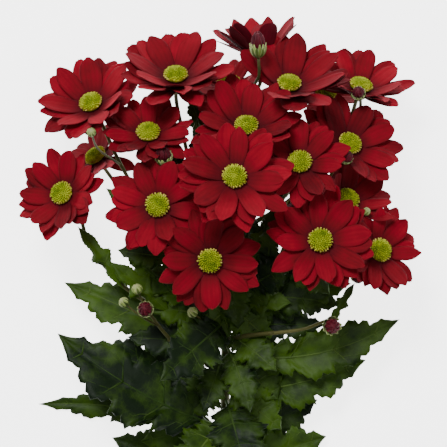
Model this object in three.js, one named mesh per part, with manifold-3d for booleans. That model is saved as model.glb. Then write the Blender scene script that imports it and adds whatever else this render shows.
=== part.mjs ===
// A cut spray chrysanthemum, lying on a flat surface: one branched, leafy stem that carries nineteen
// open daisy-like blooms, eight red buds and a few green ones. All sizes are in millimetres.
//
// The plant is laid out with +X across the spray, +Y from the cut end towards the blooms and +Z up from
// the surface that it lies on. The finished group is then moved so that its origin is at the centre of
// its bounding box's underside.

import * as THREE from "three";
import { mergeVertices } from "three/addons/utils/BufferGeometryUtils.js";
import Module from "manifold-3d";

const wasm = await Module();
wasm.setup();

// Driving dimensions, with heights in a bloom measured from the underside of its disc

const SEAT_GAP = 0.3; // clearance between pieces that touch
const DISC_RADIUS = 8;
const DISC_HEIGHT = 4.4;
const DISC_SIDES = 10;
const DISC_RELIEF = 0.3; // how far the disc's florets stand out
const HUB_RADIUS = 7.2; // where the petals' roots grow together
const HUB_HEIGHT = 4;
const HUB_SIDES = 8;
const CUP_RADIUS = 6.4; // green cup of bracts behind a bloom
const CUP_HEIGHT = 4.5;
const CUP_SIDES = 6;
const BUD_CUP_DEPTH = 0.75; // as a share of the bud's radius
const BUD_RIDGES = 4;
const BUD_RIDGE_HEIGHT = 0.09; // as a share of the bud's radius
const PETAL_ROOT = 2; // where a petal's root ends, inside the hub
const PETAL_RISE_FROM = 9.4; // a petal runs level to here, just past the disc, and then rises
const PETAL_HALF_WIDTH = 6.2; // of a petal on a bloom with the reference radius
const REFERENCE_RADIUS = 38;
const PETAL_KEEL = 0.6; // depth of a petal below its midline
const PETAL_TROUGH = 0.6; // how far a petal's edges rise above its midline
const PETAL_CLEARANCE = 0.5; // kept between a petal and whatever it is bent clear of
const ROWS = [
  { height: -1.5, lift: 9, length: 0.93, turn: 0.5 },
  { height: -3, lift: -5, length: 1, turn: 0 },
];
const STALK_SIDES = 4; // of every stalk but the main stem
const STALK_STEP = 18; // length of one straight stretch of a stalk
const STALK_RADIUS = 1.4;
const STALK_TIP_RADIUS = 1; // where a stalk carries a bud
const THIN_STALK_RADIUS = 0.9; // of a green bud's stalk
const THIN_STALK_TIP = 0.7;
const NECK_LENGTH = 13; // straight end of a stalk behind a bloom or bud
const LATERAL_RADIUS = 2;
const MAIN_SIDES = 6;
const MAIN_STEP = 24;
const MAIN_RADIUS_BASE = 3.6;
const MAIN_RADIUS_TOP = 2.2;
const LEAF_THICKNESS = 0.8;
const LEAF_RIB = 0.8; // how far the midrib stands out below the blade
const LEAF_CLEARANCE = 0.6;
const LEAF_FOLD = 0.18; // rise of a blade's halves from the midrib outwards
const PETIOLE_RADIUS = 1.4;
const SMALLEST_CLASH = 0.002; // volume below which two pieces count as clear
const DEEPEST_DIP = 1.2; // how far below the surface a petal may point before it is trimmed flat

const RED = new THREE.MeshStandardMaterial({ color: 0x9a0a20, roughness: 0.6, metalness: 0 });
const DARK_RED = new THREE.MeshStandardMaterial({ color: 0x4a0a16, roughness: 0.6, metalness: 0 });
const LIME = new THREE.MeshStandardMaterial({ color: 0xa8b820, roughness: 0.8, metalness: 0 });
const LEAF_GREEN = new THREE.MeshStandardMaterial({ color: 0x2c4a16, roughness: 0.65, metalness: 0 });
const STALK_GREEN = new THREE.MeshStandardMaterial({ color: 0x46592c, roughness: 0.7, metalness: 0 });

// Open blooms. at: centre of the disc's underside. lean and toward: how far, in degrees, the bloom's
// face is turned from straight up, and in which direction round +Z from +X. radius: from the axis to a
// petal's tip. cup: degrees that the petals rise above the bloom's own plane. petals: in each of its
// two rows. from: points that the stalk passes, from where it branches off.
const BLOOMS = [
  { name: "07", at: [7, 30, 112], lean: 16, toward: 80, radius: 39, cup: 15, petals: 8,
    from: [[3, -18, 33], [3, 2, 50], [5, 20, 72]] },
  { name: "14", at: [63, -11, 96], lean: 12, toward: 80, radius: 37, cup: 13, petals: 8,
    from: [[37, -25, 48], [54, -18, 62]] },
  { name: "16", at: [-9, -24, 94], lean: 8, toward: -70, radius: 36, cup: 12, petals: 8,
    from: [[1, -50, 30], [-4, -38, 46], [-8, -25, 62]] },
  { name: "06", at: [-43, 12, 92], lean: 12, toward: 120, radius: 36, cup: 14, petals: 8,
    from: [[-24, -22, 42], [-36, -4, 58]] },
  { name: "12", at: [50, 40, 90], lean: 24, toward: 100, radius: 34, cup: 17, petals: 7,
    from: [[34, 8, 42], [44, 22, 56]] },
  { name: "08", at: [15, 64, 80], lean: 38, toward: 92, radius: 41, cup: 24, petals: 7,
    from: [[5, 22, 35], [10, 38, 44]] },
  { name: "03", at: [-50, 60, 74], lean: 40, toward: 90, radius: 33, cup: 20, petals: 7,
    from: [[-22, 18, 42], [-38, 32, 48]] },
  { name: "11", at: [84, 53, 66], lean: 34, toward: 55, radius: 39, cup: 21, petals: 7,
    from: [[48, 18, 40], [64, 34, 40]] },
  { name: "15", at: [104, -18, 68], lean: 27, toward: 30, radius: 33, cup: 18, petals: 7,
    from: [[68, -27, 42], [84, -24, 44]] },
  { name: "13", at: [83, 16, 62], lean: 42, toward: 60, radius: 35, cup: 22, petals: 7,
    from: [[37, -25, 48], [46, -20, 44], [62, -8, 40]] },
  { name: "02", at: [-32, 99, 62], lean: 46, toward: 90, radius: 43, cup: 28, petals: 7,
    from: [[-22, 18, 42], [-25, 48, 43]] },
  { name: "09", at: [44, 93, 64], lean: 46, toward: 85, radius: 45, cup: 30, petals: 7,
    from: [[22, 38, 39], [34, 60, 42]] },
  { name: "05", at: [-108, 20, 62], lean: 30, toward: 140, radius: 34, cup: 22, petals: 7,
    from: [[-70, -42, 42], [-92, -14, 38]] },
  { name: "01", at: [-89, 81, 56], lean: 40, toward: 115, radius: 40, cup: 24, petals: 7,
    from: [[-36, -5, 38], [-54, 14, 38], [-70, 40, 40]] },
  { name: "10", at: [93, 93, 46], lean: 54, toward: 75, radius: 37, cup: 30, petals: 7,
    from: [[64, 34, 40], [80, 54, 34]] },
  { name: "17", at: [24, 120, 40], lean: 74, toward: 95, radius: 39, cup: 40, petals: 6,
    from: [[8, 48, 35], [16, 78, 30]] },
  { name: "04", at: [-88, 46, 24], lean: 55, toward: 125, radius: 32, cup: 12, petals: 5,
    from: [[-36, -5, 38], [-60, 8, 22]] },
  { name: "18", at: [4, 96, 28], lean: 52, toward: 95, radius: 32, cup: 12, petals: 5,
    from: [[6, 38, 35], [5, 60, 24]] },
  { name: "19", at: [70, 90, 21.4], lean: 52, toward: 65, radius: 30, cup: 12, petals: 5,
    from: [[22, 38, 39], [46, 58, 22]] },
];

// Red buds, closed or half open, on green cups. size: radius across. length: of the red part.
const BUDS = [
  { name: "top", at: [23, 114, 74], lean: 72, toward: 92, size: 5.2, length: 14,
    from: [[16, 78, 30], [20, 92, 62]] },
  { name: "left_high", at: [-39, 42, 86], lean: 50, toward: 100, size: 5.6, length: 10,
    from: [[-22, 18, 42], [-32, 24, 62]] },
  { name: "left_low", at: [-52, -58, 60], lean: 15, toward: 120, size: 5.2, length: 8,
    from: [[-36, -80, 35], [-44, -70, 42]] },
  { name: "centre_right", at: [47, 7, 84], lean: 12, toward: 100, size: 7.6, length: 8,
    from: [[37, -25, 48], [43, -10, 62]] },
  { name: "right_edge", at: [89, -34, 54], lean: 60, toward: -60, size: 4.2, length: 7.5,
    from: [[68, -27, 42], [80, -29, 48]] },
  { name: "right_low", at: [72, -68, 63], lean: 12, toward: -30, size: 5.6, length: 8,
    from: [[30, -75, 46], [56, -71, 50]] },
  { name: "right_high", at: [90, 86, 70], lean: 25, toward: 110, size: 4.4, length: 7,
    from: [[80, 54, 34], [88, 62, 52]] },
  { name: "right_mid", at: [80, 43, 84], lean: 30, toward: 45, size: 4.4, length: 7,
    from: [[64, 34, 40], [70, 30, 62]] },
];

// Green buds, still closed, that are one with their stalks.
const GREEN_BUDS = [
  { at: [-58, -44, 60], size: 3.8, from: [[-44, -70, 42], [-53, -56, 52]] },
  { at: [-67, -53, 58], size: 3.6, from: [[-44, -70, 42], [-57, -62, 50]] },
  { at: [-21, -60, 52], size: 3.8, from: [[1, -76, 26], [-12, -68, 42]] },
  { at: [-87, 60, 84], size: 3.2, from: [[-70, 40, 40], [-84, 50, 62]] },
  { at: [95, 8, 72], size: 2.8, from: [[68, -27, 42], [84, -6, 60]] },
];

// The main stem, and the laterals that leave it. Each is a list of points along its middle.
const MAIN_STEM = [[3, -250, 3.5], [2, -200, 7], [1, -147, 14], [2, -57, 28], [4, 10, 34], [6, 52, 35]];
const LATERALS = [
  [[1, -82, 24], [-28, -66, 33], [-52, -54, 39], [-72, -40, 42]],
  [[0, -106, 20], [-18, -92, 27], [-38, -79, 36]],
  [[1, -50, 29], [-12, -34, 36], [-24, -22, 42], [-38, -4, 38]],
  [[2, -20, 32], [-8, 0, 39], [-22, 18, 42], [-23, 21, 42]],
  [[4, 10, 34], [12, 24, 38], [23, 40, 39]],
  [[3, -12, 32], [20, 0, 40], [34, 8, 42], [50, 20, 40], [66, 36, 40]],
  [[2, -62, 27], [14, -46, 36], [37, -25, 48], [48, -23, 46], [70, -27, 42]],
  [[1.8, -80, 25], [14, -77, 38], [34, -74, 48]],
];

// Large leaves. base: on the main stem's middle. tip: its point. face: the way its upper side looks.
const LEAVES = [
  { name: "left_upper", base: [1.5, -96, 22], tip: [-110, -41, 34],
    face: [0.1, 0.25, 1], half: 20, arch: 0.02, bow: -0.02 },
  { name: "left_broad", base: [1, -142, 15], tip: [-113, -75, 42],
    face: [0.15, 0.25, 1], half: 27, arch: 0.08, bow: 0.07 },
  { name: "left_behind", base: [1.2, -118, 18], tip: [-98, -84, 12],
    face: [0, 0.1, 1], half: 19, arch: 0.02, bow: 0 },
  { name: "left_low", base: [1, -150, 14], tip: [-130, -127, 0.8],
    face: [0, 0, 1], half: 12, arch: -0.02, bow: -0.06 },
  { name: "left_base", base: [1.2, -172, 12], tip: [-78, -150, 6],
    face: [0, 0, 1], half: 18, arch: 0.05, bow: 0 },
  { name: "right_upper", base: [1.8, -66, 27], tip: [87, -41, 40],
    face: [0, 0.2, 1], half: 19, arch: 0.02, bow: 0.03 },
  { name: "right_long", base: [1.5, -90, 23], tip: [121, -66, 30],
    face: [0, 0.1, 1], half: 19, arch: 0.04, bow: -0.1 },
  { name: "right_broad", base: [1, -118, 18], tip: [99, -95, 14],
    face: [0, 0, 1], half: 20, arch: 0.08, bow: -0.04 },
  { name: "right_low", base: [1, -156, 13], tip: [66, -124, 0.8],
    face: [0, 0, 1], half: 18, arch: -0.03, bow: 0 },
  { name: "right_base", base: [1.4, -172, 11], tip: [72, -149, 6],
    face: [0, 0, 1], half: 18, arch: 0.05, bow: 0 },
  { name: "front_left", base: [1.9, -67, 27], tip: [-42, -104, 64],
    face: [0.1, 0.2, 1], half: 20, arch: 0.1, bow: 0 },
  { name: "front_base", base: [1, -121, 18], tip: [16, -174, 46],
    face: [0.1, 0.2, 1], half: 22, arch: 0.12, bow: 0 },
  { name: "front_low", base: [1, -136, 16], tip: [-34, -176, 36],
    face: [0, 0.2, 1], half: 19, arch: 0.1, bow: 0 },
];

// Small leaves that grow from the laterals and stalks, and are one with them.
const BRACTS = [
  { base: [71.4, -67.8, 60], tip: [88, -40, 62], face: [-0.3, 0, 1], half: 5, arch: 0.05, bow: 0 },
  { base: [-67, -45, 41], tip: [-99, -2, 46], face: [0.3, 0.2, 1], half: 8, arch: 0.05, bow: 0 },
  { base: [-38, -60, 36], tip: [-76, -26, 52], face: [0, 0.3, 1], half: 11, arch: 0.05, bow: 0 },
  { base: [-40, -2, 37], tip: [-80, 24, 42], face: [0, 0, 1], half: 9, arch: 0.05, bow: 0 },
  { base: [-22, 30, 42], tip: [-18, 72, 46], face: [0.5, 0, 1], half: 6, arch: 0.05, bow: 0 },
  { base: [22, -38, 42], tip: [36, 12, 50], face: [-0.3, 0, 1], half: 11, arch: 0.05, bow: 0 },
  { base: [8, -54, 32], tip: [46, -54, 46], face: [0, 0.3, 1], half: 12, arch: 0.05, bow: 0 },
  { base: [-10, -36, 36], tip: [-34, -18, 60], face: [0.3, 0, 1], half: 10, arch: 0.05, bow: 0 },
];

// One side of a leaf's cut edge, from the petiole to the tip: distance along the midrib as a share of
// the leaf's length, and distance from the midrib as a share of its half width.
const LEAF_EDGE = [
  [0.15, 0.1], [0.2, 0.4], [0.26, 0.7], [0.3, 0.58], [0.37, 0.78], [0.38, 0.5],
  [0.43, 0.74], [0.51, 1], [0.54, 0.8], [0.61, 0.88], [0.61, 0.56],
  [0.66, 0.7], [0.74, 0.82], [0.77, 0.62], [0.82, 0.6], [0.83, 0.38],
  [0.9, 0.38], [0.94, 0.2],
];
const BRACT_EDGE = [[0.03, 0.14], [0.3, 0.6], [0.38, 0.35], [0.55, 1], [0.62, 0.5], [0.8, 0.55]];
const LEAF_RIB_STATIONS = [0.1, 0.33, 0.56, 0.78];
const BRACT_RIB_STATIONS = [0, 0.5];

// Ways to bend a petal clear of its neighbours, the smallest change first: degrees up, degrees round
// the bloom's axis, and the share of its length that is kept.
const PETAL_BENDS = [
  [0, 0, 1], [-6, 0, 1], [6, 0, 1], [0, 8, 1], [0, -8, 1], [-12, 0, 1], [12, 0, 1],
  [-12, 8, 1], [-12, -8, 1], [12, 8, 1], [12, -8, 1], [-20, 0, 1], [20, 0, 1],
  [-20, 8, 1], [-20, -8, 1], [20, 8, 1], [20, -8, 1], [-28, 0, 1], [28, 0, 1], [-36, 0, 1], [36, 0, 1],
  [0, 0, 0.8], [-12, 0, 0.8], [12, 0, 0.8], [-24, 0, 0.8], [24, 0, 0.8], [-36, 0, 0.8], [36, 0, 0.8],
  [0, 0, 0.62], [-14, 0, 0.62], [14, 0, 0.62], [-28, 0, 0.62], [28, 0, 0.62], [-42, 0, 0.62], [46, 0, 0.62],
];

// Ways to bend a leaf clear: millimetres that its tip is raised.
const LEAF_BENDS = [0, 6, -6, 12, -12, 18, -18, 26, -26];

// A number from 0 to 1 that looks random and is always the same for the same seed.
function draw(seed) {
  const value = Math.sin(seed * 12.9898) * 43758.5453;
  return value - Math.floor(value);
}

function toSolid(geometry) {
  const bare = geometry.clone();
  bare.deleteAttribute("normal");
  bare.deleteAttribute("uv");
  const merged = mergeVertices(bare, 1e-4);
  return new wasm.Manifold(new wasm.Mesh({
    numProp: 3,
    vertProperties: Float32Array.from(merged.attributes.position.array),
    triVerts: Uint32Array.from(merged.index.array),
  }));
}

function toGeometry(solid) {
  const mesh = solid.getMesh();
  const geometry = new THREE.BufferGeometry();
  geometry.setAttribute("position", new THREE.Float32BufferAttribute(mesh.vertProperties, 3));
  geometry.setIndex(new THREE.Uint32BufferAttribute(mesh.triVerts, 1));
  geometry.computeVertexNormals();
  return geometry;
}

function biggestPiece(solid) {
  const pieces = solid.decompose();
  return pieces.reduce((best, piece) => (piece.volume() > best.volume() ? piece : best));
}

function moved(solid, matrix) {
  return solid.transform(matrix.elements);
}

function reshape(geometry, place) {
  const position = geometry.attributes.position;
  const point = new THREE.Vector3();
  for (let i = 0; i < position.count; i += 1) {
    point.fromBufferAttribute(position, i);
    const target = place(point);
    position.setXYZ(i, target.x, target.y, target.z);
  }
  return geometry;
}

function boxesMeet(a, b) {
  return [0, 1, 2].every((axis) => a.min[axis] < b.max[axis] && b.min[axis] < a.max[axis]);
}

// Pieces already in place, that later ones keep clear of
const placed = [];

function putInPlace(solid) {
  placed.push({ solid, box: solid.boundingBox() });
}

function isClear(solid) {
  const box = solid.boundingBox();
  const meets = (other) => boxesMeet(box, other.box)
    && other.solid.intersect(solid).volume() > SMALLEST_CLASH;
  return !placed.some(meets);
}

// Everything below the surface that the plant lies on
const ground = toSolid(new THREE.BoxGeometry(600, 900, 200).translate(0, 0, -100));

// A round stalk that tapers along a curve through the given points
function stalk(points, startRadius, endRadius, sides, step) {
  const curve = new THREE.CatmullRomCurve3(points.map((p) => new THREE.Vector3(...p)));
  const segments = Math.max(2, Math.round(curve.getLength() / step));
  const frames = curve.computeFrenetFrames(segments);
  const geometry = new THREE.CylinderGeometry(1, 1, 1, sides, segments);
  reshape(geometry, (point) => {
    const row = Math.round((0.5 - point.y) * segments);
    const radius = THREE.MathUtils.lerp(startRadius, endRadius, row / segments);
    const normal = frames.normals[row].clone().multiplyScalar(point.x * radius);
    const binormal = frames.binormals[row].clone().multiplyScalar(point.z * radius);
    return curve.getPointAt(row / segments).add(normal).add(binormal);
  });
  return toSolid(geometry);
}

// The turn from straight up to a bloom's or bud's own direction, and its place
function facing(item) {
  const turn = new THREE.Matrix4().makeRotationZ(THREE.MathUtils.degToRad(item.toward));
  const tilt = new THREE.Matrix4().makeRotationY(THREE.MathUtils.degToRad(item.lean));
  const back = new THREE.Matrix4().makeRotationZ(-THREE.MathUtils.degToRad(item.toward));
  const place = new THREE.Matrix4().makeTranslation(...item.at);
  return place.multiply(turn).multiply(tilt).multiply(back);
}

// The points of a bloom's or bud's stalk: those given, then a straight neck behind its cup
function stalkPoints(item, cupBottom) {
  const frame = facing(item);
  const onAxis = (height) => new THREE.Vector3(0, 0, height).applyMatrix4(frame).toArray();
  return [...item.from, onAxis(cupBottom - NECK_LENGTH), onAxis(cupBottom + 1)];
}

// A solid of revolution round +Z from radius and height pairs that start and end on the axis
function turned(profile, sides) {
  const points = profile.map(([radius, height]) => new THREE.Vector2(radius, height));
  return new THREE.LatheGeometry(points, sides).rotateX(Math.PI / 2);
}

function bloomCup() {
  const top = -SEAT_GAP * 2 - HUB_HEIGHT;
  return turned([
    [0, top - CUP_HEIGHT],
    [CUP_RADIUS * 0.5, top - CUP_HEIGHT],
    [CUP_RADIUS, top],
    [0, top],
  ], CUP_SIDES);
}

function hub() {
  const middle = -SEAT_GAP - HUB_HEIGHT / 2;
  return new THREE.CylinderGeometry(HUB_RADIUS, HUB_RADIUS * 0.9, HUB_HEIGHT, HUB_SIDES)
    .rotateX(Math.PI / 2)
    .translate(0, 0, middle);
}

// The disc of florets: a dome whose rings of vertices stand out and in by turns
function disc() {
  const rings = [[0, DISC_HEIGHT], [0.74, DISC_HEIGHT * 0.8], [0.97, 0], [0, 0]];
  const profile = rings.map(([share, height]) => [share * DISC_RADIUS, height]).reverse();
  return reshape(turned(profile, DISC_SIDES), (point) => {
    const radius = Math.hypot(point.x, point.y);
    if (radius < 1 || point.z <= 0) {
      return point;
    }
    const sector = Math.round((Math.atan2(point.x, point.y) / (2 * Math.PI)) * DISC_SIDES);
    const side = sector % 2 === 0 ? 1 : -1;
    const relief = DISC_RELIEF * side;
    return new THREE.Vector3(point.x, point.y, point.z + relief).multiplyScalar(1 + relief / DISC_RADIUS);
  });
}

// What sets one petal's form: the rule that scatters the petals of a bloom
function petalForm(bloom, bloomIndex, row, index) {
  const seed = bloomIndex * 100 + ROWS.indexOf(row) * 50 + index;
  const scale = bloom.radius / REFERENCE_RADIUS;
  return {
    angle: 360 * (index + row.turn + draw(bloomIndex + 0.5)) / bloom.petals + (draw(seed + 0.1) - 0.5) * 8,
    length: bloom.radius * row.length * (0.93 + 0.12 * draw(seed + 0.2)),
    halfWidth: PETAL_HALF_WIDTH * scale * (0.88 + 0.24 * draw(seed + 0.3)),
    lift: bloom.cup + row.lift + (draw(seed + 0.4) - 0.5) * 8,
    droop: (draw(seed + 0.5) - 0.35) * 6,
    sway: (draw(seed + 0.6) - 0.5) * 5,
    bluntness: draw(seed + 0.7),
    height: row.height,
  };
}

// One petal along +X from the bloom's axis. Each station has a vertex at either edge and one below the
// midline, where the petal is thickest. extra grows it on all sides.
function petal(form, extra) {
  const tipStation = THREE.MathUtils.lerp(0.86, 0.97, form.bluntness);
  const tipShare = THREE.MathUtils.lerp(0.42, 0.66, form.bluntness);
  const stations = [PETAL_ROOT, PETAL_RISE_FROM + 0.8, form.length * 0.62, form.length * tipStation, form.length];
  const widths = [0, 0.66, 1, tipShare, 0];
  const last = stations.length - 1;
  const lift = THREE.MathUtils.degToRad(form.lift);
  return reshape(new THREE.SphereGeometry(1, 3, last), (point) => {
    const row = Math.round((Math.acos(THREE.MathUtils.clamp(point.y, -1, 1)) / Math.PI) * last);
    const rising = Math.max(0, stations[row] - PETAL_RISE_FROM) + (row === last ? extra : 0);
    const share = rising / (form.length - PETAL_RISE_FROM);
    const along = Math.min(stations[row], PETAL_RISE_FROM) + rising * Math.cos(lift);
    const sway = form.sway * share * share;
    const height = form.height + rising * Math.sin(lift) - form.droop * share * share;
    if (row === 0 || row === last) {
      return new THREE.Vector3(along, sway, height);
    }
    if (point.x < 0) {
      return new THREE.Vector3(along, sway, height - PETAL_KEEL - extra * 2);
    }
    const side = -Math.sign(point.z) * (form.halfWidth * widths[row] + extra);
    return new THREE.Vector3(along, sway + side, height + PETAL_TROUGH * widths[row] + extra);
  });
}

function bentPetal(form, [up, round, kept], extra) {
  const bent = { ...form, lift: form.lift + up, angle: form.angle + round, length: form.length * kept };
  return toSolid(petal(bent, extra).rotateZ(THREE.MathUtils.degToRad(bent.angle)));
}

// A bloom's petals, each bent as little as it takes to clear what is already there
function corolla(bloom, bloomIndex) {
  const frame = facing(bloom);
  const core = toSolid(hub());
  const rootZone = toSolid(new THREE.CylinderGeometry(HUB_RADIUS + 2, HUB_RADIUS + 2, 16, HUB_SIDES)
    .rotateX(Math.PI / 2));
  const kept = [];
  for (const row of ROWS) {
    for (let index = 0; index < bloom.petals; index += 1) {
      const form = petalForm(bloom, bloomIndex, row, index);
      const fits = (bend) => {
        const wide = bentPetal(form, bend, PETAL_CLEARANCE);
        const world = moved(wide, frame);
        if (world.boundingBox().min[2] < -DEEPEST_DIP || !isClear(world)) {
          return false;
        }
        const outer = bentPetal(form, bend, 0.15).subtract(rootZone);
        return kept.every((other) => other.intersect(outer).volume() < SMALLEST_CLASH);
      };
      const bend = PETAL_BENDS.find(fits);
      if (bend) {
        kept.push(bentPetal(form, bend, 0));
      }
    }
  }
  return wasm.Manifold.union([core, ...kept]);
}

// A red bud: petals still folded together in a pointed dome, with a ridge along each
function redBud(bud) {
  return reshape(new THREE.SphereGeometry(1, BUD_RIDGES * 2, 5), (point) => {
    const turn = Math.atan2(point.x, point.z);
    const ridge = 1 + BUD_RIDGE_HEIGHT * Math.cos(turn * BUD_RIDGES);
    const height = (point.y + 1) / 2;
    const belly = bud.size * ridge * (1 - 0.25 * height);
    return new THREE.Vector3(point.z * belly, point.x * belly, SEAT_GAP + height * bud.length);
  });
}

function budCup(bud) {
  return turned([
    [0, -bud.size * BUD_CUP_DEPTH],
    [bud.size * 0.5, -bud.size * BUD_CUP_DEPTH],
    [bud.size * 0.9, 0],
    [0, 0],
  ], CUP_SIDES);
}

// A thin arched blade cut to the given edge, alike on both sides of its midrib, and split into
// triangles alike on its upper and lower faces
function blade(leaf, edge, ribStations, thickness, rib) {
  const base = new THREE.Vector3(...leaf.base);
  const along = new THREE.Vector3(...leaf.tip).sub(base);
  const length = along.length();
  along.normalize();
  const across = new THREE.Vector3(...leaf.face).cross(along).normalize();
  const up = along.clone().cross(across);
  const spot = (station, offset, lower) => {
    const arch = leaf.arch * length * 4 * station * (1 - station);
    const fold = LEAF_FOLD * Math.abs(offset) * leaf.half;
    const underRib = lower && offset === 0 ? rib : 0;
    const height = arch + fold + (lower ? -thickness / 2 - underRib : thickness / 2);
    return base.clone()
      .addScaledVector(along, station * length)
      .addScaledVector(across, offset * leaf.half + leaf.bow * length * 4 * station * (1 - station))
      .addScaledVector(up, height);
  };
  const middle = [...ribStations, 1].map((station) => [station, 0]);
  const left = edge.map(([station, offset]) => [station, offset]);
  const right = edge.map(([station, offset]) => [station - 0.02, -offset * 0.94]);
  const outline = [...middle, ...left, ...right];
  const leftEdge = left.map((_, i) => middle.length + i);
  const rightEdge = right.map((_, i) => middle.length + left.length + i);
  const leftLoop = [...middle.keys(), ...leftEdge.toReversed()];
  const rightLoop = [...middle.keys(), ...rightEdge.toReversed()];
  const upper = outline.map(([station, offset]) => spot(station, offset, false));
  const lower = outline.map(([station, offset]) => spot(station, offset, true));
  const vertices = [...upper, ...lower].flatMap((vertex) => vertex.toArray());
  const count = outline.length;
  const triangles = [];
  const addFaces = (loop, flip) => {
    const contour = loop.map((i) => new THREE.Vector2(outline[i][0] * length, outline[i][1] * leaf.half));
    const ordered = flip ? contour.map((p) => new THREE.Vector2(p.x, -p.y)) : contour;
    for (const [a, b, c] of THREE.ShapeUtils.triangulateShape(ordered, [])) {
      const [i, j, k] = flip ? [loop[a], loop[c], loop[b]] : [loop[a], loop[b], loop[c]];
      triangles.push(i, j, k, count + i, count + k, count + j);
    }
  };
  addFaces(leftLoop, false);
  addFaces(rightLoop, true);
  const rim = [0, ...rightEdge, middle.length - 1, ...leftEdge.toReversed()];
  rim.forEach((a, i) => {
    const b = rim[(i + 1) % rim.length];
    triangles.push(count + a, count + b, b, count + a, b, a);
  });
  const geometry = new THREE.BufferGeometry();
  geometry.setAttribute("position", new THREE.Float32BufferAttribute(vertices, 3));
  geometry.setIndex(triangles);
  return { solid: toSolid(geometry), spot };
}

// A leaf with its petiole, which runs on under the blade
function wholeLeaf(leaf, extra) {
  const { solid, spot } = blade(leaf, LEAF_EDGE, LEAF_RIB_STATIONS, LEAF_THICKNESS + extra * 2, LEAF_RIB);
  const lower = [spot(0, 0, true), spot(0.12, 0, true), spot(0.22, 0, true)].map((v) => v.toArray());
  const petiole = stalk(lower, PETIOLE_RADIUS + extra, PETIOLE_RADIUS * 0.6 + extra, STALK_SIDES, STALK_STEP);
  return solid.add(petiole);
}

// The main stem, grown by clearance so that it can also cut a collar from the leaves that grow from it
function mainStem(clearance) {
  const radii = [MAIN_RADIUS_BASE + clearance, MAIN_RADIUS_TOP + clearance];
  return stalk(MAIN_STEM, ...radii, MAIN_SIDES, MAIN_STEP);
}

function stemSolid() {
  const pieces = [mainStem(0)];
  for (const lateral of LATERALS) {
    pieces.push(stalk(lateral, LATERAL_RADIUS, STALK_RADIUS, STALK_SIDES, STALK_STEP));
  }
  for (const bloom of BLOOMS) {
    const cupBottom = -SEAT_GAP * 2 - HUB_HEIGHT - CUP_HEIGHT;
    pieces.push(stalk(stalkPoints(bloom, cupBottom), STALK_RADIUS, STALK_RADIUS, STALK_SIDES, STALK_STEP));
    pieces.push(moved(toSolid(bloomCup()), facing(bloom)));
  }
  for (const bud of BUDS) {
    const points = stalkPoints(bud, -bud.size * BUD_CUP_DEPTH);
    pieces.push(stalk(points, STALK_RADIUS, STALK_TIP_RADIUS, STALK_SIDES, STALK_STEP));
    pieces.push(moved(toSolid(budCup(bud)), facing(bud)));
  }
  for (const bud of GREEN_BUDS) {
    const points = [...bud.from, bud.at];
    pieces.push(stalk(points, THIN_STALK_RADIUS, THIN_STALK_TIP, STALK_SIDES, STALK_STEP));
    pieces.push(toSolid(new THREE.SphereGeometry(bud.size, 6, 4).translate(...bud.at)));
  }
  for (const bract of BRACTS) {
    pieces.push(blade(bract, BRACT_EDGE, BRACT_RIB_STATIONS, LEAF_THICKNESS, LEAF_RIB).solid);
  }
  return biggestPiece(wasm.Manifold.union(pieces).subtract(ground));
}

function leafSolid(leaf, collar) {
  const lifted = (rise) => ({ ...leaf, tip: [leaf.tip[0], leaf.tip[1], leaf.tip[2] + rise] });
  const made = (rise, extra) => biggestPiece(
    wholeLeaf(lifted(rise), extra).subtract(collar),
  );
  const rise = LEAF_BENDS.find((bend) => {
    const wide = made(bend, LEAF_CLEARANCE / 2);
    return wide.boundingBox().min[2] > -DEEPEST_DIP && isClear(wide);
  });
  return made(rise, 0).subtract(ground);
}

function named(name, solid, material) {
  const mesh = new THREE.Mesh(toGeometry(solid), material);
  mesh.name = name;
  return mesh;
}

function build() {
  const plant = new THREE.Group();
  const stem = stemSolid();
  plant.add(named("stem", stem, STALK_GREEN));
  putInPlace(stem);

  for (const bud of BUDS) {
    const solid = moved(toSolid(redBud(bud)), facing(bud));
    plant.add(named(`bud_${bud.name}`, solid, DARK_RED));
    putInPlace(solid);
  }

  const discSolid = toSolid(disc());
  const hubSolid = toSolid(hub());
  const hubs = BLOOMS.map((bloom) => moved(hubSolid, facing(bloom)));
  hubs.forEach(putInPlace);
  BLOOMS.forEach((bloom) => putInPlace(moved(discSolid, facing(bloom))));

  const collar = mainStem(SEAT_GAP);
  for (const leaf of LEAVES) {
    const solid = leafSolid(leaf, collar);
    plant.add(named(`leaf_${leaf.name}`, solid, LEAF_GREEN));
    putInPlace(solid);
  }

  BLOOMS.forEach((bloom, bloomIndex) => {
    const frame = facing(bloom);
    placed.splice(placed.findIndex((other) => other.solid === hubs[bloomIndex]), 1);
    const petals = biggestPiece(moved(corolla(bloom, bloomIndex), frame).subtract(ground));
    putInPlace(petals);
    const head = new THREE.Group();
    frame.decompose(head.position, head.quaternion, head.scale);
    head.add(named(`bloom_${bloom.name}_petals`, moved(petals, frame.clone().invert()), RED));
    head.add(named(`bloom_${bloom.name}_disc`, discSolid, LIME));
    plant.add(head);
  });

  const box = new THREE.Box3().setFromObject(plant, true);
  const middle = box.getCenter(new THREE.Vector3());
  plant.position.set(-middle.x, -middle.y, -box.min.z);
  return plant;
}

const chrysanthemum = build();
export default chrysanthemum;
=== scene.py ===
# %% [markdown]
# A cut spray of red single chrysanthemums lies on a pale table, and the camera looks straight down on it.
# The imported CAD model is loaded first. It is the frame that every finer piece is built around, so nothing
# here has to be fitted by eye: a petal, leaf or bud goes where its plain solid already is.

# %% Load the frame
import math

import bmesh
import bpy
from mathutils import Matrix, Vector, noise
from mathutils.kdtree import KDTree


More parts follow.
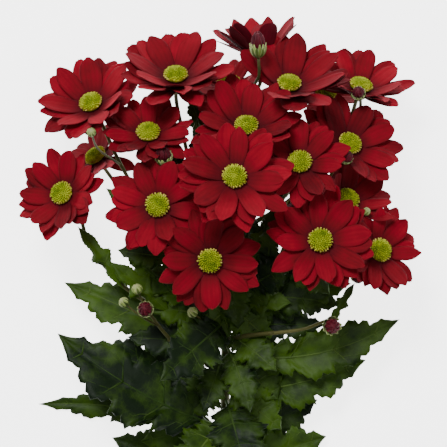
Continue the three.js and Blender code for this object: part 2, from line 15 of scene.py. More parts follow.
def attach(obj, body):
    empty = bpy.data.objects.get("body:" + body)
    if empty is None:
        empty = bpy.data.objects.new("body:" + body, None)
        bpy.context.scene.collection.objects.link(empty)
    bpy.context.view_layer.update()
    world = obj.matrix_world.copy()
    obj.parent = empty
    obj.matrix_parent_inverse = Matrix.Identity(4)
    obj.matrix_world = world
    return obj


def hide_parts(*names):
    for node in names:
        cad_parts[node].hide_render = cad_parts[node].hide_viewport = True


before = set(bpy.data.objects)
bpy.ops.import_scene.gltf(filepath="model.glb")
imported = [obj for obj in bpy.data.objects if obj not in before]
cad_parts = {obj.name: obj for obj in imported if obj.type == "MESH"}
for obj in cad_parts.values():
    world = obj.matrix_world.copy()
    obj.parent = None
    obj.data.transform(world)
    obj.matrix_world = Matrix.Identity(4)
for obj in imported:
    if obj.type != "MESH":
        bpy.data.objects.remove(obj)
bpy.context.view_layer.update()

# %% [markdown]
# The plant is described as a gardener would sort it: blooms, buds, stalks and leaves, each with its place
# in millimetres. A table of facts is easier to read and to mend than hundreds of separate calls, so the
# shapes below are all made from these rows. Each bloom leans by some degrees towards a compass direction.

# %% The open blooms
from collections import namedtuple

Bloom = namedtuple("Bloom", "name at lean toward radius cup petals stalk")
BLOOMS = [Bloom(*row) for row in (
    ("07", (7, 30, 112), 16, 80, 39, 15, 8, [(3, -18, 33), (3, 2, 50), (5, 20, 72)]),
    ("14", (63, -11, 96), 12, 80, 37, 13, 8, [(37, -25, 48), (54, -18, 62)]),
    ("16", (-9, -24, 94), 8, -70, 36, 12, 8, [(1, -50, 30), (-4, -38, 46), (-8, -25, 62)]),
    ("06", (-43, 12, 92), 12, 120, 36, 14, 8, [(-24, -22, 42), (-36, -4, 58)]),
    ("12", (50, 40, 90), 24, 100, 34, 17, 7, [(34, 8, 42), (44, 22, 56)]),
    ("08", (15, 64, 80), 38, 92, 41, 24, 7, [(5, 22, 35), (10, 38, 44)]),
    ("03", (-50, 60, 74), 40, 90, 33, 20, 7, [(-22, 18, 42), (-38, 32, 48)]),
    ("11", (84, 53, 66), 34, 55, 39, 21, 7, [(48, 18, 40), (64, 34, 40)]),
    ("15", (104, -18, 68), 27, 30, 33, 18, 7, [(68, -27, 42), (84, -24, 44)]),
    ("13", (83, 16, 62), 42, 60, 35, 22, 7, [(37, -25, 48), (46, -20, 44), (62, -8, 40)]),
    ("02", (-32, 99, 62), 46, 90, 43, 28, 7, [(-22, 18, 42), (-25, 48, 43)]),
    ("09", (44, 93, 64), 46, 85, 45, 30, 7, [(22, 38, 39), (34, 60, 42)]),
    ("05", (-108, 20, 62), 30, 140, 34, 22, 7, [(-70, -42, 42), (-92, -14, 38)]),
    ("01", (-89, 81, 56), 40, 115, 40, 24, 7, [(-36, -5, 38), (-54, 14, 38), (-70, 40, 40)]),
    ("10", (93, 93, 46), 54, 75, 37, 30, 7, [(64, 34, 40), (80, 54, 34)]),
    ("17", (24, 120, 40), 74, 95, 39, 40, 6, [(8, 48, 35), (16, 78, 30)]),
    ("04", (-88, 46, 24), 55, 125, 32, 12, 5, [(-36, -5, 38), (-60, 8, 22)]),
    ("18", (4, 96, 28), 52, 95, 32, 12, 5, [(6, 38, 35), (5, 60, 24)]),
    ("19", (70, 90, 21.4), 52, 65, 30, 12, 5, [(22, 38, 39), (46, 58, 22)]),
)]

# %% The red buds and the green ones
Bud = namedtuple("Bud", "name at lean toward size length stalk")
BUDS = [Bud(*row) for row in (
    ("top", (23, 114, 74), 72, 92, 5.2, 14, [(16, 78, 30), (20, 92, 62)]),
    ("left_high", (-39, 42, 86), 50, 100, 5.6, 10, [(-22, 18, 42), (-32, 24, 62)]),
    ("left_low", (-52, -58, 60), 15, 120, 5.2, 8, [(-36, -80, 35), (-44, -70, 42)]),
    ("centre_right", (47, 7, 84), 12, 100, 7.6, 8, [(37, -25, 48), (43, -10, 62)]),
    ("right_edge", (89, -34, 54), 60, -60, 4.2, 7.5, [(68, -27, 42), (80, -29, 48)]),
    ("right_low", (72, -68, 63), 12, -30, 5.6, 8, [(30, -75, 46), (56, -71, 50)]),
    ("right_high", (90, 86, 70), 25, 110, 4.4, 7, [(80, 54, 34), (88, 62, 52)]),
    ("right_mid", (80, 43, 84), 30, 45, 4.4, 7, [(64, 34, 40), (70, 30, 62)]),
)]
GreenBud = namedtuple("GreenBud", "at size stalk")
GREEN_BUDS = [GreenBud(*row) for row in (
    ((-58, -44, 60), 3.8, [(-44, -70, 42), (-53, -56, 52)]),
    ((-67, -53, 58), 3.6, [(-44, -70, 42), (-57, -62, 50)]),
    ((-21, -60, 52), 3.8, [(1, -76, 26), (-12, -68, 42)]),
    ((-87, 60, 84), 3.2, [(-70, 40, 40), (-84, 50, 62)]),
    ((95, 8, 72), 2.8, [(68, -27, 42), (84, -6, 60)]),
)]

# %% The main stem and its side branches
MAIN_STEM = [(3, -250, 3.5), (2, -200, 7), (1, -147, 14), (2, -57, 28), (4, 10, 34), (6, 52, 35)]
LATERALS = [
    [(1, -82, 24), (-28, -66, 33), (-52, -54, 39), (-72, -40, 42)],
    [(0, -106, 20), (-18, -92, 27), (-38, -79, 36)],
    [(1, -50, 29), (-12, -34, 36), (-24, -22, 42), (-38, -4, 38)],
    [(2, -20, 32), (-8, 0, 39), (-22, 18, 42), (-23, 21, 42)],
    [(4, 10, 34), (12, 24, 38), (23, 40, 39)],
    [(3, -12, 32), (20, 0, 40), (34, 8, 42), (50, 20, 40), (66, 36, 40)],
    [(2, -62, 27), (14, -46, 36), (37, -25, 48), (48, -23, 46), (70, -27, 42)],
    [(1.8, -80, 25), (14, -77, 38), (34, -74, 48)],
]

# %% The leaves, which arch a little and don't bend sideways unless their rows say so
USUAL_ARCH = 0.05
Leaf = namedtuple("Leaf", "name base tip face half arch bow", defaults=(USUAL_ARCH, 0))
LEAVES = [Leaf(*row) for row in (
    ("left_upper", (1.5, -96, 22), (-110, -41, 34), (0.1, 0.25, 1), 20, 0.02, -0.02),
    ("left_broad", (1, -142, 15), (-113, -75, 42), (0.15, 0.25, 1), 27, 0.08, 0.07),
    ("left_behind", (1.2, -118, 18), (-98, -84, 12), (0, 0.1, 1), 19, 0.02, 0),
    ("left_low", (1, -150, 14), (-130, -127, 0.8), (0, 0, 1), 12, -0.02, -0.06),
    ("left_base", (1.2, -172, 12), (-78, -150, 6), (0, 0, 1), 18, 0.05, 0),
    ("right_upper", (1.8, -66, 27), (87, -41, 40), (0, 0.2, 1), 19, 0.02, 0.03),
    ("right_long", (1.5, -90, 23), (121, -66, 30), (0, 0.1, 1), 19, 0.04, -0.1),
    ("right_broad", (1, -118, 18), (99, -95, 14), (0, 0, 1), 20, 0.08, -0.04),
    ("right_low", (1, -156, 13), (66, -124, 0.8), (0, 0, 1), 18, -0.03, 0),
    ("right_base", (1.4, -172, 11), (72, -149, 6), (0, 0, 1), 18, 0.05, 0),
    ("front_left", (1.9, -67, 27), (-42, -104, 64), (0.1, 0.2, 1), 20, 0.1, 0),
    ("front_base", (1, -121, 18), (16, -174, 46), (0.1, 0.2, 1), 22, 0.12, 0),
    ("front_low", (1, -136, 16), (-34, -176, 36), (0, 0.2, 1), 19, 0.1, 0),
)]
SMALL_LEAVES = [Leaf("small", *row) for row in (
    ((71.4, -67.8, 60), (88, -40, 62), (-0.3, 0, 1), 5),
    ((-67, -45, 41), (-99, -2, 46), (0.3, 0.2, 1), 8),
    ((-38, -60, 36), (-76, -26, 52), (0, 0.3, 1), 11),
    ((-40, -2, 37), (-80, 24, 42), (0, 0, 1), 9),
    ((-22, 30, 42), (-18, 72, 46), (0.5, 0, 1), 6),
    ((22, -38, 42), (36, 12, 50), (-0.3, 0, 1), 11),
    ((8, -54, 32), (46, -54, 46), (0, 0.3, 1), 12),
    ((-10, -36, 36), (-34, -18, 60), (0.3, 0, 1), 10),
)]
INNER_LEAVES = [Leaf("inner", *row) for row in (
    ((2, -60, 26), (-36, -38, 50), (0.2, 0.1, 1), 12, 0.06, 0.04),
    ((2, -70, 25), (-34, -76, 46), (0.2, 0.3, 1), 13, 0.08, 0),
    ((-28, -22, 42), (-72, -18, 44), (0, 0.2, 1), 11, 0.05, 0.04),
    ((3, -58, 26), (36, -40, 46), (-0.2, 0, 1), 13, 0.06, -0.04),
    ((14, -52, 33), (80, -56, 40), (0, 0.2, 1), 15, 0.06, 0.04),
    ((37, -26, 46), (72, -48, 48), (0, 0.2, 1), 12, 0.06, 0.05),
    ((30, -34, 44), (33, 0, 60), (-0.3, 0, 1), 9),
    ((-22, 26, 42), (-40, 54, 44), (0.2, 0, 1), 7),
    ((-10, 50, 36), (-24, 88, 40), (0.2, 0, 1), 7),
    ((66, 36, 40), (112, 44, 44), (0, 0, 1), 9),
    ((2, -74, 26), (36, -100, 48), (0, 0.3, 1), 15, 0.08, 0),
    ((1, -112, 20), (40, -142, 26), (0, 0.2, 1), 17, 0.08, 0),
    ((2, -84, 26), (18, -128, 50), (-0.1, 0.3, 1), 14, 0.1, 0.03),
    ((0, -90, 24), (-14, -128, 46), (0.1, 0.3, 1), 13, 0.1, 0),
    ((4, -14, 34), (42, -6, 54), (-0.1, 0, 1), 14),
    ((14, -46, 36), (46, -26, 56), (-0.2, 0, 1), 14),
    ((-12, -36, 36), (-50, -32, 48), (0.1, 0.1, 1), 12),
    ((12, 24, 38), (48, 22, 50), (0, 0, 1), 12),
    ((1, -66, 24), (-52, -56, 38), (0, 0.2, 1), 14),
    ((1, -84, 22), (-66, -78, 32), (0, 0.2, 1), 15),
    ((-20, -60, 33), (-66, -20, 42), (0.1, 0.1, 1), 12),
    ((2, -70, 25), (70, -70, 32), (0, 0.2, 1), 13),
    ((1, -88, 21), (38, -122, 26), (0, 0.2, 1), 20),
    ((1, -100, 20), (-30, -132, 26), (0, 0.2, 1), 18),
    ((-8, -46, 31), (34, -82, 34), (0, 0.1, 1), 17),
    ((14, -48, 33), (-26, -84, 34), (0, 0.1, 1), 16),
    ((4, -30, 32), (10, -72, 40), (0, 0.1, 1), 13),
    ((-36, -8, 40), (-73, 6, 46), (0, 0, 1), 10),
    ((1, -138, 14), (-58, -152, 12), (0, 0, 1), 15),
)]
print(len(BLOOMS), "blooms,", len(BUDS), "red buds,", len(LEAVES), "large leaves")

# %% [markdown]
# The table's rows count from the point below the picture's middle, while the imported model's origin is in
# the middle of its own box. The gap between the two is read off one disc: its highest vertex is known in
# both. After that, one matrix takes any bloom or bud from its own upright space to its place on the plant.

# %% From the table's numbers to the frame
MM = 0.001
FLOOR_GAP = 0.05 * MM
DISC_HEIGHT = 4.4


def turned(item):
    toward = Matrix.Rotation(math.radians(item.toward), 4, "Z")
    lean = Matrix.Rotation(math.radians(item.lean), 4, "Y")
    return toward @ lean @ toward.inverted()


def find_shift():
    bloom = BLOOMS[0]
    axis = turned(bloom) @ Vector((0, 0, 1))
    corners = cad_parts[f"bloom_{bloom.name}_disc"].data.vertices
    apex = max((corner.co for corner in corners), key=lambda place: place.dot(axis))
    return apex - (Vector(bloom.at) + axis * DISC_HEIGHT) * MM


SHIFT = find_shift()
TO_FRAME = Matrix.Translation(SHIFT) @ Matrix.Scale(MM, 4)


def facing(item):
    return TO_FRAME @ Matrix.Translation(item.at) @ turned(item)


print("shift, mm:", [round(value / MM, 3) for value in SHIFT])

# %% [markdown]
# The photograph looks level at an upright spray. Lying down, the same view is from straight above, from
# about a metre and a quarter away, with the blooms' end of the stem at the top of the picture.

# %% Camera
CAMERA_HEIGHT = 1.28
CAMERA_LENS = 146.4
SENSOR_WIDTH = 36
camera_data = bpy.data.cameras.new("photo_camera")
camera_data.lens = CAMERA_LENS
camera_data.sensor_width = SENSOR_WIDTH
camera = bpy.data.objects.new("photo_camera", camera_data)
bpy.context.scene.collection.objects.link(camera)
camera.location = (SHIFT.x, SHIFT.y, CAMERA_HEIGHT)
bpy.context.scene.camera = camera

# %% [markdown]
# The floor is a plain pale sheet that gives off a little light of its own, so it comes out nearly white.
# Large area lights stand in for studio soft boxes: the larger the light, the softer the shadow between the
# petals. The main one is towards the top of the picture, as in the photograph, where the undersides of the
# foliage fall into shade.

# %% Floor
FLOOR_HALF_SIZE = 3
FLOOR_COLOUR = (0.9, 0.9, 0.9, 1)
FLOOR_ROUGHNESS = 0.9
FLOOR_GLOW = 3.7
WHITE = (1, 1, 1, 1)
floor_form = bmesh.new()
bmesh.ops.create_grid(floor_form, x_segments=1, y_segments=1, size=FLOOR_HALF_SIZE)
floor_mesh = bpy.data.meshes.new("floor")
floor_form.to_mesh(floor_mesh)
floor_form.free()
floor = bpy.data.objects.new("floor", floor_mesh)
bpy.context.scene.collection.objects.link(floor)
floor_paint = bpy.data.materials.new("floor_paint")
floor_paint.use_nodes = True
floor_shader = floor_paint.node_tree.nodes["Principled BSDF"]
floor_shader.inputs["Base Color"].default_value = FLOOR_COLOUR
floor_shader.inputs["Roughness"].default_value = FLOOR_ROUGHNESS
floor_shader.inputs["Emission Color"].default_value = WHITE
floor_shader.inputs["Emission Strength"].default_value = FLOOR_GLOW
floor_mesh.materials.append(floor_paint)

# %% Lights
LIGHT_TARGET = Vector((0, 0.05, 0.05))
WORLD_STRENGTH = 0.22


def soft_box(name, place, size, power):
    light_data = bpy.data.lights.new(name, "AREA")
    light_data.shape = "DISK"
    light_data.size = size
    light_data.energy = power
    light = bpy.data.objects.new(name, light_data)
    bpy.context.scene.collection.objects.link(light)
    light.location = place
    light.rotation_euler = (Vector(place) - LIGHT_TARGET).to_track_quat("Z", "Y").to_euler()


soft_box("key_light", (-0.3, 0.75, 1.3), size=0.5, power=24)
soft_box("fill_light", (0.5, -0.2, 1.5), size=1.2, power=6)
world = bpy.data.worlds.new("studio")
bpy.context.scene.world = world
world.use_nodes = True
sky = world.node_tree.nodes["Background"]
sky.inputs["Color"].default_value = WHITE
sky.inputs["Strength"].default_value = WORLD_STRENGTH

# %% [markdown]
# Finishes come next. Plant tissue is never one flat colour: cells differ from patch to patch, and veins
# run along petals and leaves. Three effects are shared by several materials, so each is a node group with
# named inputs: patches that follow the object, fine lines that follow a blade from root to tip, and the net
# of veins in a leaf.


# %% Helpers for materials
def paint(red, green, blue):
    """A colour as a paint program names it, turned to the linear values that shaders use."""
    return (*(((share / 255 + 0.055) / 1.055) ** 2.4 for share in (red, green, blue)), 1)


def new_group(name, inputs, outputs):
    group = bpy.data.node_groups.new(name, "ShaderNodeTree")
    for label, kind, value in inputs:
        socket = group.interface.new_socket(label, in_out="INPUT", socket_type=kind)
        socket.default_value = value
    for label, kind in outputs:
        group.interface.new_socket(label, in_out="OUTPUT", socket_type=kind)
    return group, group.nodes.new("NodeGroupInput"), group.nodes.new("NodeGroupOutput")


def maths(tree, operation, first, second=0.0, third=0.0):
    node = tree.nodes.new("ShaderNodeMath")
    node.operation = operation
    for socket, value in zip(node.inputs, (first, second, third)):
        if isinstance(value, (int, float)):
            socket.default_value = value
        else:
            tree.links.new(value, socket)
    return node.outputs[0]


def blend_colours(tree, share, first, second):
    node = tree.nodes.new("ShaderNodeMix")
    node.data_type = "RGBA"
    tree.links.new(share, node.inputs["Factor"])
    for socket, value in zip((node.inputs[6], node.inputs[7]), (first, second)):
        if isinstance(value, tuple):
            socket.default_value = value
        else:
            tree.links.new(value, socket)
    return node.outputs[2]


# %% Shared effect: patches of tissue
GRAIN_SCALE = 1400.0
patches, asked, given = new_group(
    "tissue_patches",
    [("Size", "NodeSocketFloat", 90.0), ("Contrast", "NodeSocketFloat", 1.0)],
    [("Mask", "NodeSocketFloat"), ("Height", "NodeSocketFloat")],
)
where = patches.nodes.new("ShaderNodeTexCoord").outputs["Object"]
broad = patches.nodes.new("ShaderNodeTexNoise")
broad.inputs["Detail"].default_value = 3.0
patches.links.new(where, broad.inputs["Vector"])
patches.links.new(asked.outputs["Size"], broad.inputs["Scale"])
fine = patches.nodes.new("ShaderNodeTexNoise")
fine.inputs["Scale"].default_value = GRAIN_SCALE
fine.inputs["Detail"].default_value = 2.0
patches.links.new(where, fine.inputs["Vector"])
centred = maths(patches, "SUBTRACT", broad.outputs["Fac"], 0.5)
stretched = maths(patches, "MULTIPLY_ADD", centred, asked.outputs["Contrast"], 0.5)
patches.links.new(stretched, given.inputs["Mask"])
patches.links.new(fine.outputs["Fac"], given.inputs["Height"])

# %% Shared effect: lines that run from a blade's root to its tip
WOBBLE_SCALE = 260.0
EDGE_SHARPNESS = 6.0
lines, asked, given = new_group(
    "blade_lines",
    [("Count", "NodeSocketFloat", 9.0), ("Wander", "NodeSocketFloat", 0.25)],
    [("Lines", "NodeSocketFloat"), ("Edge", "NodeSocketFloat"), ("Along", "NodeSocketFloat")],
)
on_blade = lines.nodes.new("ShaderNodeUVMap")
on_blade.uv_map = "blade"
split = lines.nodes.new("ShaderNodeSeparateXYZ")
lines.links.new(on_blade.outputs["UV"], split.inputs[0])
wobble = lines.nodes.new("ShaderNodeTexNoise")
wobble.inputs["Scale"].default_value = WOBBLE_SCALE
lines.links.new(lines.nodes.new("ShaderNodeTexCoord").outputs["Object"], wobble.inputs["Vector"])
across = maths(lines, "MULTIPLY_ADD", split.outputs["X"], asked.outputs["Count"],
               maths(lines, "MULTIPLY", wobble.outputs["Fac"], asked.outputs["Wander"]))
wave = maths(lines, "SINE", maths(lines, "MULTIPLY", across, math.tau))
lines.links.new(maths(lines, "MULTIPLY_ADD", wave, 0.5, 0.5), given.inputs["Lines"])
from_middle = maths(lines, "ABSOLUTE", maths(lines, "MULTIPLY_ADD", split.outputs["X"], 2.0, -1.0))
lines.links.new(maths(lines, "POWER", from_middle, EDGE_SHARPNESS), given.inputs["Edge"])
lines.links.new(split.outputs["Y"], given.inputs["Along"])

# %% Shared effect: the net of fine veins in a leaf
VEIN_LINE_WIDTH = 0.14
vein_net, asked, given = new_group(
    "vein_net", [("Scale", "NodeSocketFloat", 260.0)], [("Net", "NodeSocketFloat")],
)
cells = vein_net.nodes.new("ShaderNodeTexVoronoi")
cells.feature = "DISTANCE_TO_EDGE"
vein_net.links.new(vein_net.nodes.new("ShaderNodeTexCoord").outputs["Object"], cells.inputs["Vector"])
vein_net.links.new(asked.outputs["Scale"], cells.inputs["Scale"])
thin_line = vein_net.nodes.new("ShaderNodeMapRange")
thin_line.inputs["From Max"].default_value = VEIN_LINE_WIDTH
thin_line.inputs["To Min"].default_value = 1.0
thin_line.inputs["To Max"].default_value = 0.0
vein_net.links.new(cells.outputs["Distance"], thin_line.inputs["Value"])
vein_net.links.new(thin_line.outputs[0], given.inputs["Net"])
print("shared effects:", [group.name for group in bpy.data.node_groups])

# %% One way to make a plant finish
TONE_WEIGHT = 0.9
GLOSS = 0.15
RELIEF_DEPTH = 0.0004


def plant_finish(name, dark, light, patch_size, roughness, contrast=1.6, bump=0.15, net=0.0,
                 line_count=9.0, line_share=0.0, edge=None, edge_share=0.0, root=None, root_shade_reach=0.0):
    material = bpy.data.materials.new(name)
    material.use_nodes = True
    tree = material.node_tree
    shader = tree.nodes["Principled BSDF"]
    shader.inputs["Roughness"].default_value = roughness
    shader.inputs["Specular IOR Level"].default_value = GLOSS
    tissue = tree.nodes.new("ShaderNodeGroup")
    tissue.node_tree = patches
    tissue.inputs["Size"].default_value = patch_size
    tissue.inputs["Contrast"].default_value = contrast
    blade = tree.nodes.new("ShaderNodeGroup")
    blade.node_tree = lines
    blade.inputs["Count"].default_value = line_count
    own = tree.nodes.new("ShaderNodeAttribute")
    own.attribute_name = "tone"
    lined = maths(tree, "MULTIPLY", maths(tree, "SUBTRACT", blade.outputs["Lines"], 0.5), line_share)
    off_middle = maths(tree, "SUBTRACT", own.outputs["Fac"], 0.5)
    toned = maths(tree, "MULTIPLY_ADD", off_middle, TONE_WEIGHT, lined)
    if net:
        netted = tree.nodes.new("ShaderNodeGroup")
        netted.node_tree = vein_net
        toned = maths(tree, "MULTIPLY_ADD", netted.outputs["Net"], net, toned)
    share = tree.nodes.new("ShaderNodeClamp")
    tree.links.new(maths(tree, "ADD", tissue.outputs["Mask"], toned), share.inputs["Value"])
    colour = blend_colours(tree, share.outputs[0], dark, light)
    # A darker colour towards a blade's root. The petals use it for painted shade, deep where they crowd
    # round the disc.
    if root:
        root_shade_mask = tree.nodes.new("ShaderNodeMapRange")
        root_shade_mask.interpolation_type = "SMOOTHSTEP"
        root_shade_mask.inputs["From Max"].default_value = root_shade_reach
        root_shade_mask.inputs["To Min"].default_value = 1.0
        root_shade_mask.inputs["To Max"].default_value = 0.0
        tree.links.new(blade.outputs["Along"], root_shade_mask.inputs["Value"])
        colour = blend_colours(tree, root_shade_mask.outputs[0], colour, root)
    # An edge colour. On the open petals it is painted shade along edges that curl into shadow; on the
    # bracts it is their own pale, papery margin.
    if edge:
        near_edge = maths(tree, "MULTIPLY", blade.outputs["Edge"], edge_share)
        colour = blend_colours(tree, near_edge, colour, edge)
    tree.links.new(colour, shader.inputs["Base Color"])
    relief = tree.nodes.new("ShaderNodeBump")
    relief.inputs["Strength"].default_value = bump
    relief.inputs["Distance"].default_value = RELIEF_DEPTH
    height = maths(tree, "MULTIPLY_ADD", blade.outputs["Lines"], 1.0 if line_share else 0.0,
                   tissue.outputs["Height"])
    tree.links.new(height, relief.inputs["Height"])
    tree.links.new(relief.outputs["Normal"], shader.inputs["Normal"])
    return material


# %% [markdown]
# The petals are velvety: a rough surface with hardly any gloss, crimson in the open, with painted shade
# that turns them almost black red towards the root, where they crowd round the disc, and darkens their
# curled edges. Their backs are duller. Discs are lime with an older, golden rim. Leaves are dark and a
# little glossy above, grey-green below, with veins that are paler than the blade.

# %% The finishes
# The open petals' root colour and their dark edge colour are painted shade: the deep shade round each disc,
# and the shade along petal edges that curl away from the light.
PETAL = plant_finish("petal_crimson", paint(80, 0, 12), paint(142, 0, 28), 60, 0.85,
                     line_count=5, line_share=0.1, edge=paint(58, 0, 10), edge_share=0.5,
                     root=paint(44, 0, 8), root_shade_reach=0.5, bump=0.1, contrast=1.4)
PETAL_BACK = plant_finish("petal_back", paint(60, 0, 14), paint(100, 6, 28), 70, 0.8,
                          line_count=5, line_share=0.15, bump=0.1)
FLORET = plant_finish("disc_florets", paint(98, 118, 8), paint(176, 184, 44), 160, 0.8, bump=0.2)
FLORET_RIM = plant_finish("disc_rim_florets", paint(132, 116, 24), paint(206, 190, 92), 200, 0.8,
                          bump=0.2)
BUD_PETAL = plant_finish("bud_petals", paint(40, 0, 10), paint(92, 2, 26), 120, 0.6,
                         line_count=3, line_share=0.2, edge=paint(128, 48, 62), edge_share=0.4,
                         bump=0.2)
BRACT = plant_finish("bracts", paint(46, 66, 20), paint(104, 124, 54), 120, 0.65, line_count=3,
                     line_share=0.2, edge=paint(178, 180, 132), edge_share=0.6, bump=0.2)
PALE_BRACT = plant_finish("pale_bracts", paint(80, 104, 34), paint(146, 164, 88), 140, 0.65,
                          line_count=3, line_share=0.2, edge=paint(206, 206, 164), edge_share=0.6,
                          bump=0.2)
LEAF_TOP = plant_finish("leaf_upper_side", paint(8, 25, 3), paint(54, 80, 12), 60, 0.5, bump=0.35,
                        contrast=2.6, net=0.14)
LEAF_BACK = plant_finish("leaf_underside", paint(34, 54, 20), paint(70, 90, 40), 40, 0.7, bump=0.3)
VEIN = plant_finish("leaf_veins", paint(34, 56, 14), paint(72, 94, 34), 90, 0.55, bump=0.15)
STALK = plant_finish("stalk_skin", paint(34, 42, 16), paint(80, 78, 38), 70, 0.55, bump=0.4,
                     contrast=2.2)
print("finishes:", len(bpy.data.materials))


# %% [markdown]
# Every piece is finished in the same way: the worked form becomes a mesh that is already in its place,
# gets its finishes, hides the plain solid that it stands for, and rides on the one body of the plant.


# %% Turning a worked form into a piece
def new_form():
    form = bmesh.new()
    form.loops.layers.uv.new("blade")
    form.verts.layers.float.new("tone")
    return form


def finish_piece(form, name, finishes, nodes, smoothing=0):
    mesh = bpy.data.meshes.new(name)
    form.to_mesh(mesh)
    form.free()
    for finish in finishes:
        mesh.materials.append(finish)
    mesh.shade_smooth()
    piece = bpy.data.objects.new(name, mesh)
    bpy.context.scene.collection.objects.link(piece)
    if smoothing:
        rounding = piece.modifiers.new("rounding", "SUBSURF")
        rounding.levels = smoothing
        rounding.render_levels = smoothing
    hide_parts(*nodes)
    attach(piece, "root")


# %% Chance that comes out the same each time
DRAW_PITCH = 12.9898
DRAW_SPREAD = 43758.5453


def draw(seed):
    """A number from 0 to 1 that looks random and is always the same for the same seed."""
    value = math.sin(seed * DRAW_PITCH) * DRAW_SPREAD
    return value - math.floor(value)


def mix(first, second, share):
    return first + (second - first) * share


def vary(seed, least, most):
    """A value somewhere between two limits, picked by the seed."""
    return mix(least, most, draw(seed))


print("three draws:", [round(draw(seed), 3) for seed in (1, 2, 3)])

# %% A blade: a grid bent to any surface, then given thickness
SAME_CORNER = 1e-7


def add_blade(form, rows, columns, surface, thickness, tone=0.5, back=0):
    """surface(across, along) gives a place in metres, with across from -1 to 1 and along from 0 to 1.

    Rows count the faces along the blade and columns those across it. The thickness is in millimetres.
    """
    grid = bmesh.ops.create_grid(form, x_segments=rows, y_segments=columns, size=1)["verts"]
    uv_layer = form.loops.layers.uv["blade"]
    tone_layer = form.verts.layers.float["tone"]
    faces = list({face for corner in grid for face in corner.link_faces})
    for face in faces:
        for loop in face.loops:
            loop[uv_layer].uv = ((loop.vert.co.y + 1) / 2, (loop.vert.co.x + 1) / 2)
    for corner in grid:
        corner.co = surface(corner.co.y, (corner.co.x + 1) / 2)
        corner[tone_layer] = tone
    bmesh.ops.remove_doubles(form, verts=grid, dist=SAME_CORNER)
    faces = [face for face in faces if face.is_valid]
    form.normal_update()
    lower = [corner for corner in grid if corner.is_valid]
    sink = [corner.normal * thickness * MM for corner in lower]
    shell = bmesh.ops.extrude_face_region(form, geom=faces)["geom"]
    for corner, step in zip(lower, sink):
        corner.co -= step
    for face in faces:
        face.material_index = back
    whole = {face for part in shell if isinstance(part, bmesh.types.BMVert) for face in part.link_faces}
    bmesh.ops.recalc_face_normals(form, faces=[*whole, *faces])


# %% [markdown]
# A chrysanthemum head is a ring of petals round a disc of tiny florets. Each petal is narrow at its root,
# widest past the middle, and ends in a point, a round or two notches. It has two grooves along it.
# The same rule as in the plain model scatters the petals, and the plain solid shows how far each one was
# bent clear of its neighbours, so the finer petal is bent in the same way. Where there is room, a petal in
# between is added, for a head as full as the real one. A petal is a grid of eight by six faces that is bent
# to shape, thickened and rounded by one level of subdivision.

# %% How one petal grows
PetalForm = namedtuple("PetalForm", "angle length half lift droop sway blunt height seed")
PetalRow = namedtuple("PetalRow", "height lift length turn")
ROWS = [PetalRow(-1.5, 9, 0.93, 0.5), PetalRow(-3, -5, 1, 0)]
HUB_RADIUS = 7.2
RISE_FROM = 9.4
REFERENCE_RADIUS = 38
PETAL_HALF_WIDTH = 6.2
SEEDS_PER_BLOOM = 100
SEEDS_PER_ROW = 50

# Each bend is degrees up, degrees round the bloom's axis and the share of the length that is kept.
PETAL_BENDS = [
    (0, 0, 1), (-6, 0, 1), (6, 0, 1), (0, 8, 1), (0, -8, 1), (-12, 0, 1), (12, 0, 1),
    (-12, 8, 1), (-12, -8, 1), (12, 8, 1), (12, -8, 1), (-20, 0, 1), (20, 0, 1),
    (-20, 8, 1), (-20, -8, 1), (20, 8, 1), (20, -8, 1),
    (-28, 0, 1), (28, 0, 1), (-36, 0, 1), (36, 0, 1),
    (0, 0, 0.8), (-12, 0, 0.8), (12, 0, 0.8), (-24, 0, 0.8), (24, 0, 0.8), (-36, 0, 0.8), (36, 0, 0.8),
    (0, 0, 0.62), (-14, 0, 0.62), (14, 0, 0.62), (-28, 0, 0.62), (28, 0, 0.62),
    (-42, 0, 0.62), (46, 0, 0.62),
]


def petal_form(bloom_index, row_index, index):
    bloom = BLOOMS[bloom_index]
    row = ROWS[row_index]
    seed = bloom_index * SEEDS_PER_BLOOM + row_index * SEEDS_PER_ROW + index
    spread = 360 * (index + row.turn + draw(bloom_index + 0.5)) / bloom.petals
    return PetalForm(
        angle=spread + vary(seed + 0.1, -4, 4),
        length=bloom.radius * row.length * vary(seed + 0.2, 0.93, 1.05),
        half=PETAL_HALF_WIDTH * bloom.radius / REFERENCE_RADIUS * vary(seed + 0.3, 0.88, 1.12),
        lift=bloom.cup + row.lift + vary(seed + 0.4, -4, 4),
        droop=vary(seed + 0.5, -2.1, 3.9),
        sway=vary(seed + 0.6, -2.5, 2.5),
        blunt=draw(seed + 0.7),
        height=row.height,
        seed=seed,
    )


def bent(form, bend):
    up, round_axis, kept = bend
    return form._replace(lift=form.lift + up, angle=form.angle + round_axis, length=form.length * kept)


# %% Finding each petal's bend in the plain solid
def on_petal(form, station, side, rise):
    """A place in the bloom's own upright space, station millimetres along the petal."""
    rising = max(0.0, station - RISE_FROM)
    share = rising / (form.length - RISE_FROM)
    lift = math.radians(form.lift)
    place = Vector((
        min(station, RISE_FROM) + rising * math.cos(lift),
        form.sway * share * share + side,
        form.height + rising * math.sin(lift) - form.droop * share * share + rise,
    ))
    return Matrix.Rotation(math.radians(form.angle), 4, "Z") @ place


def corner_finder(node):
    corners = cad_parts[node].data.vertices
    tree = KDTree(len(corners))
    for index, corner in enumerate(corners):
        tree.insert(corner.co, index)
    tree.balance()
    return tree


SAME_PLACE = 0.05 * MM
PETAL_TROUGH = 0.6
PLAIN_WIDEST = 0.62
MARKS_NEEDED = 2


def fits(marks, corners):
    """Whether the plain solid has a vertex at two of the three marks or more."""
    return sum(corners.find(mark)[2] < SAME_PLACE for mark in marks) >= MARKS_NEEDED


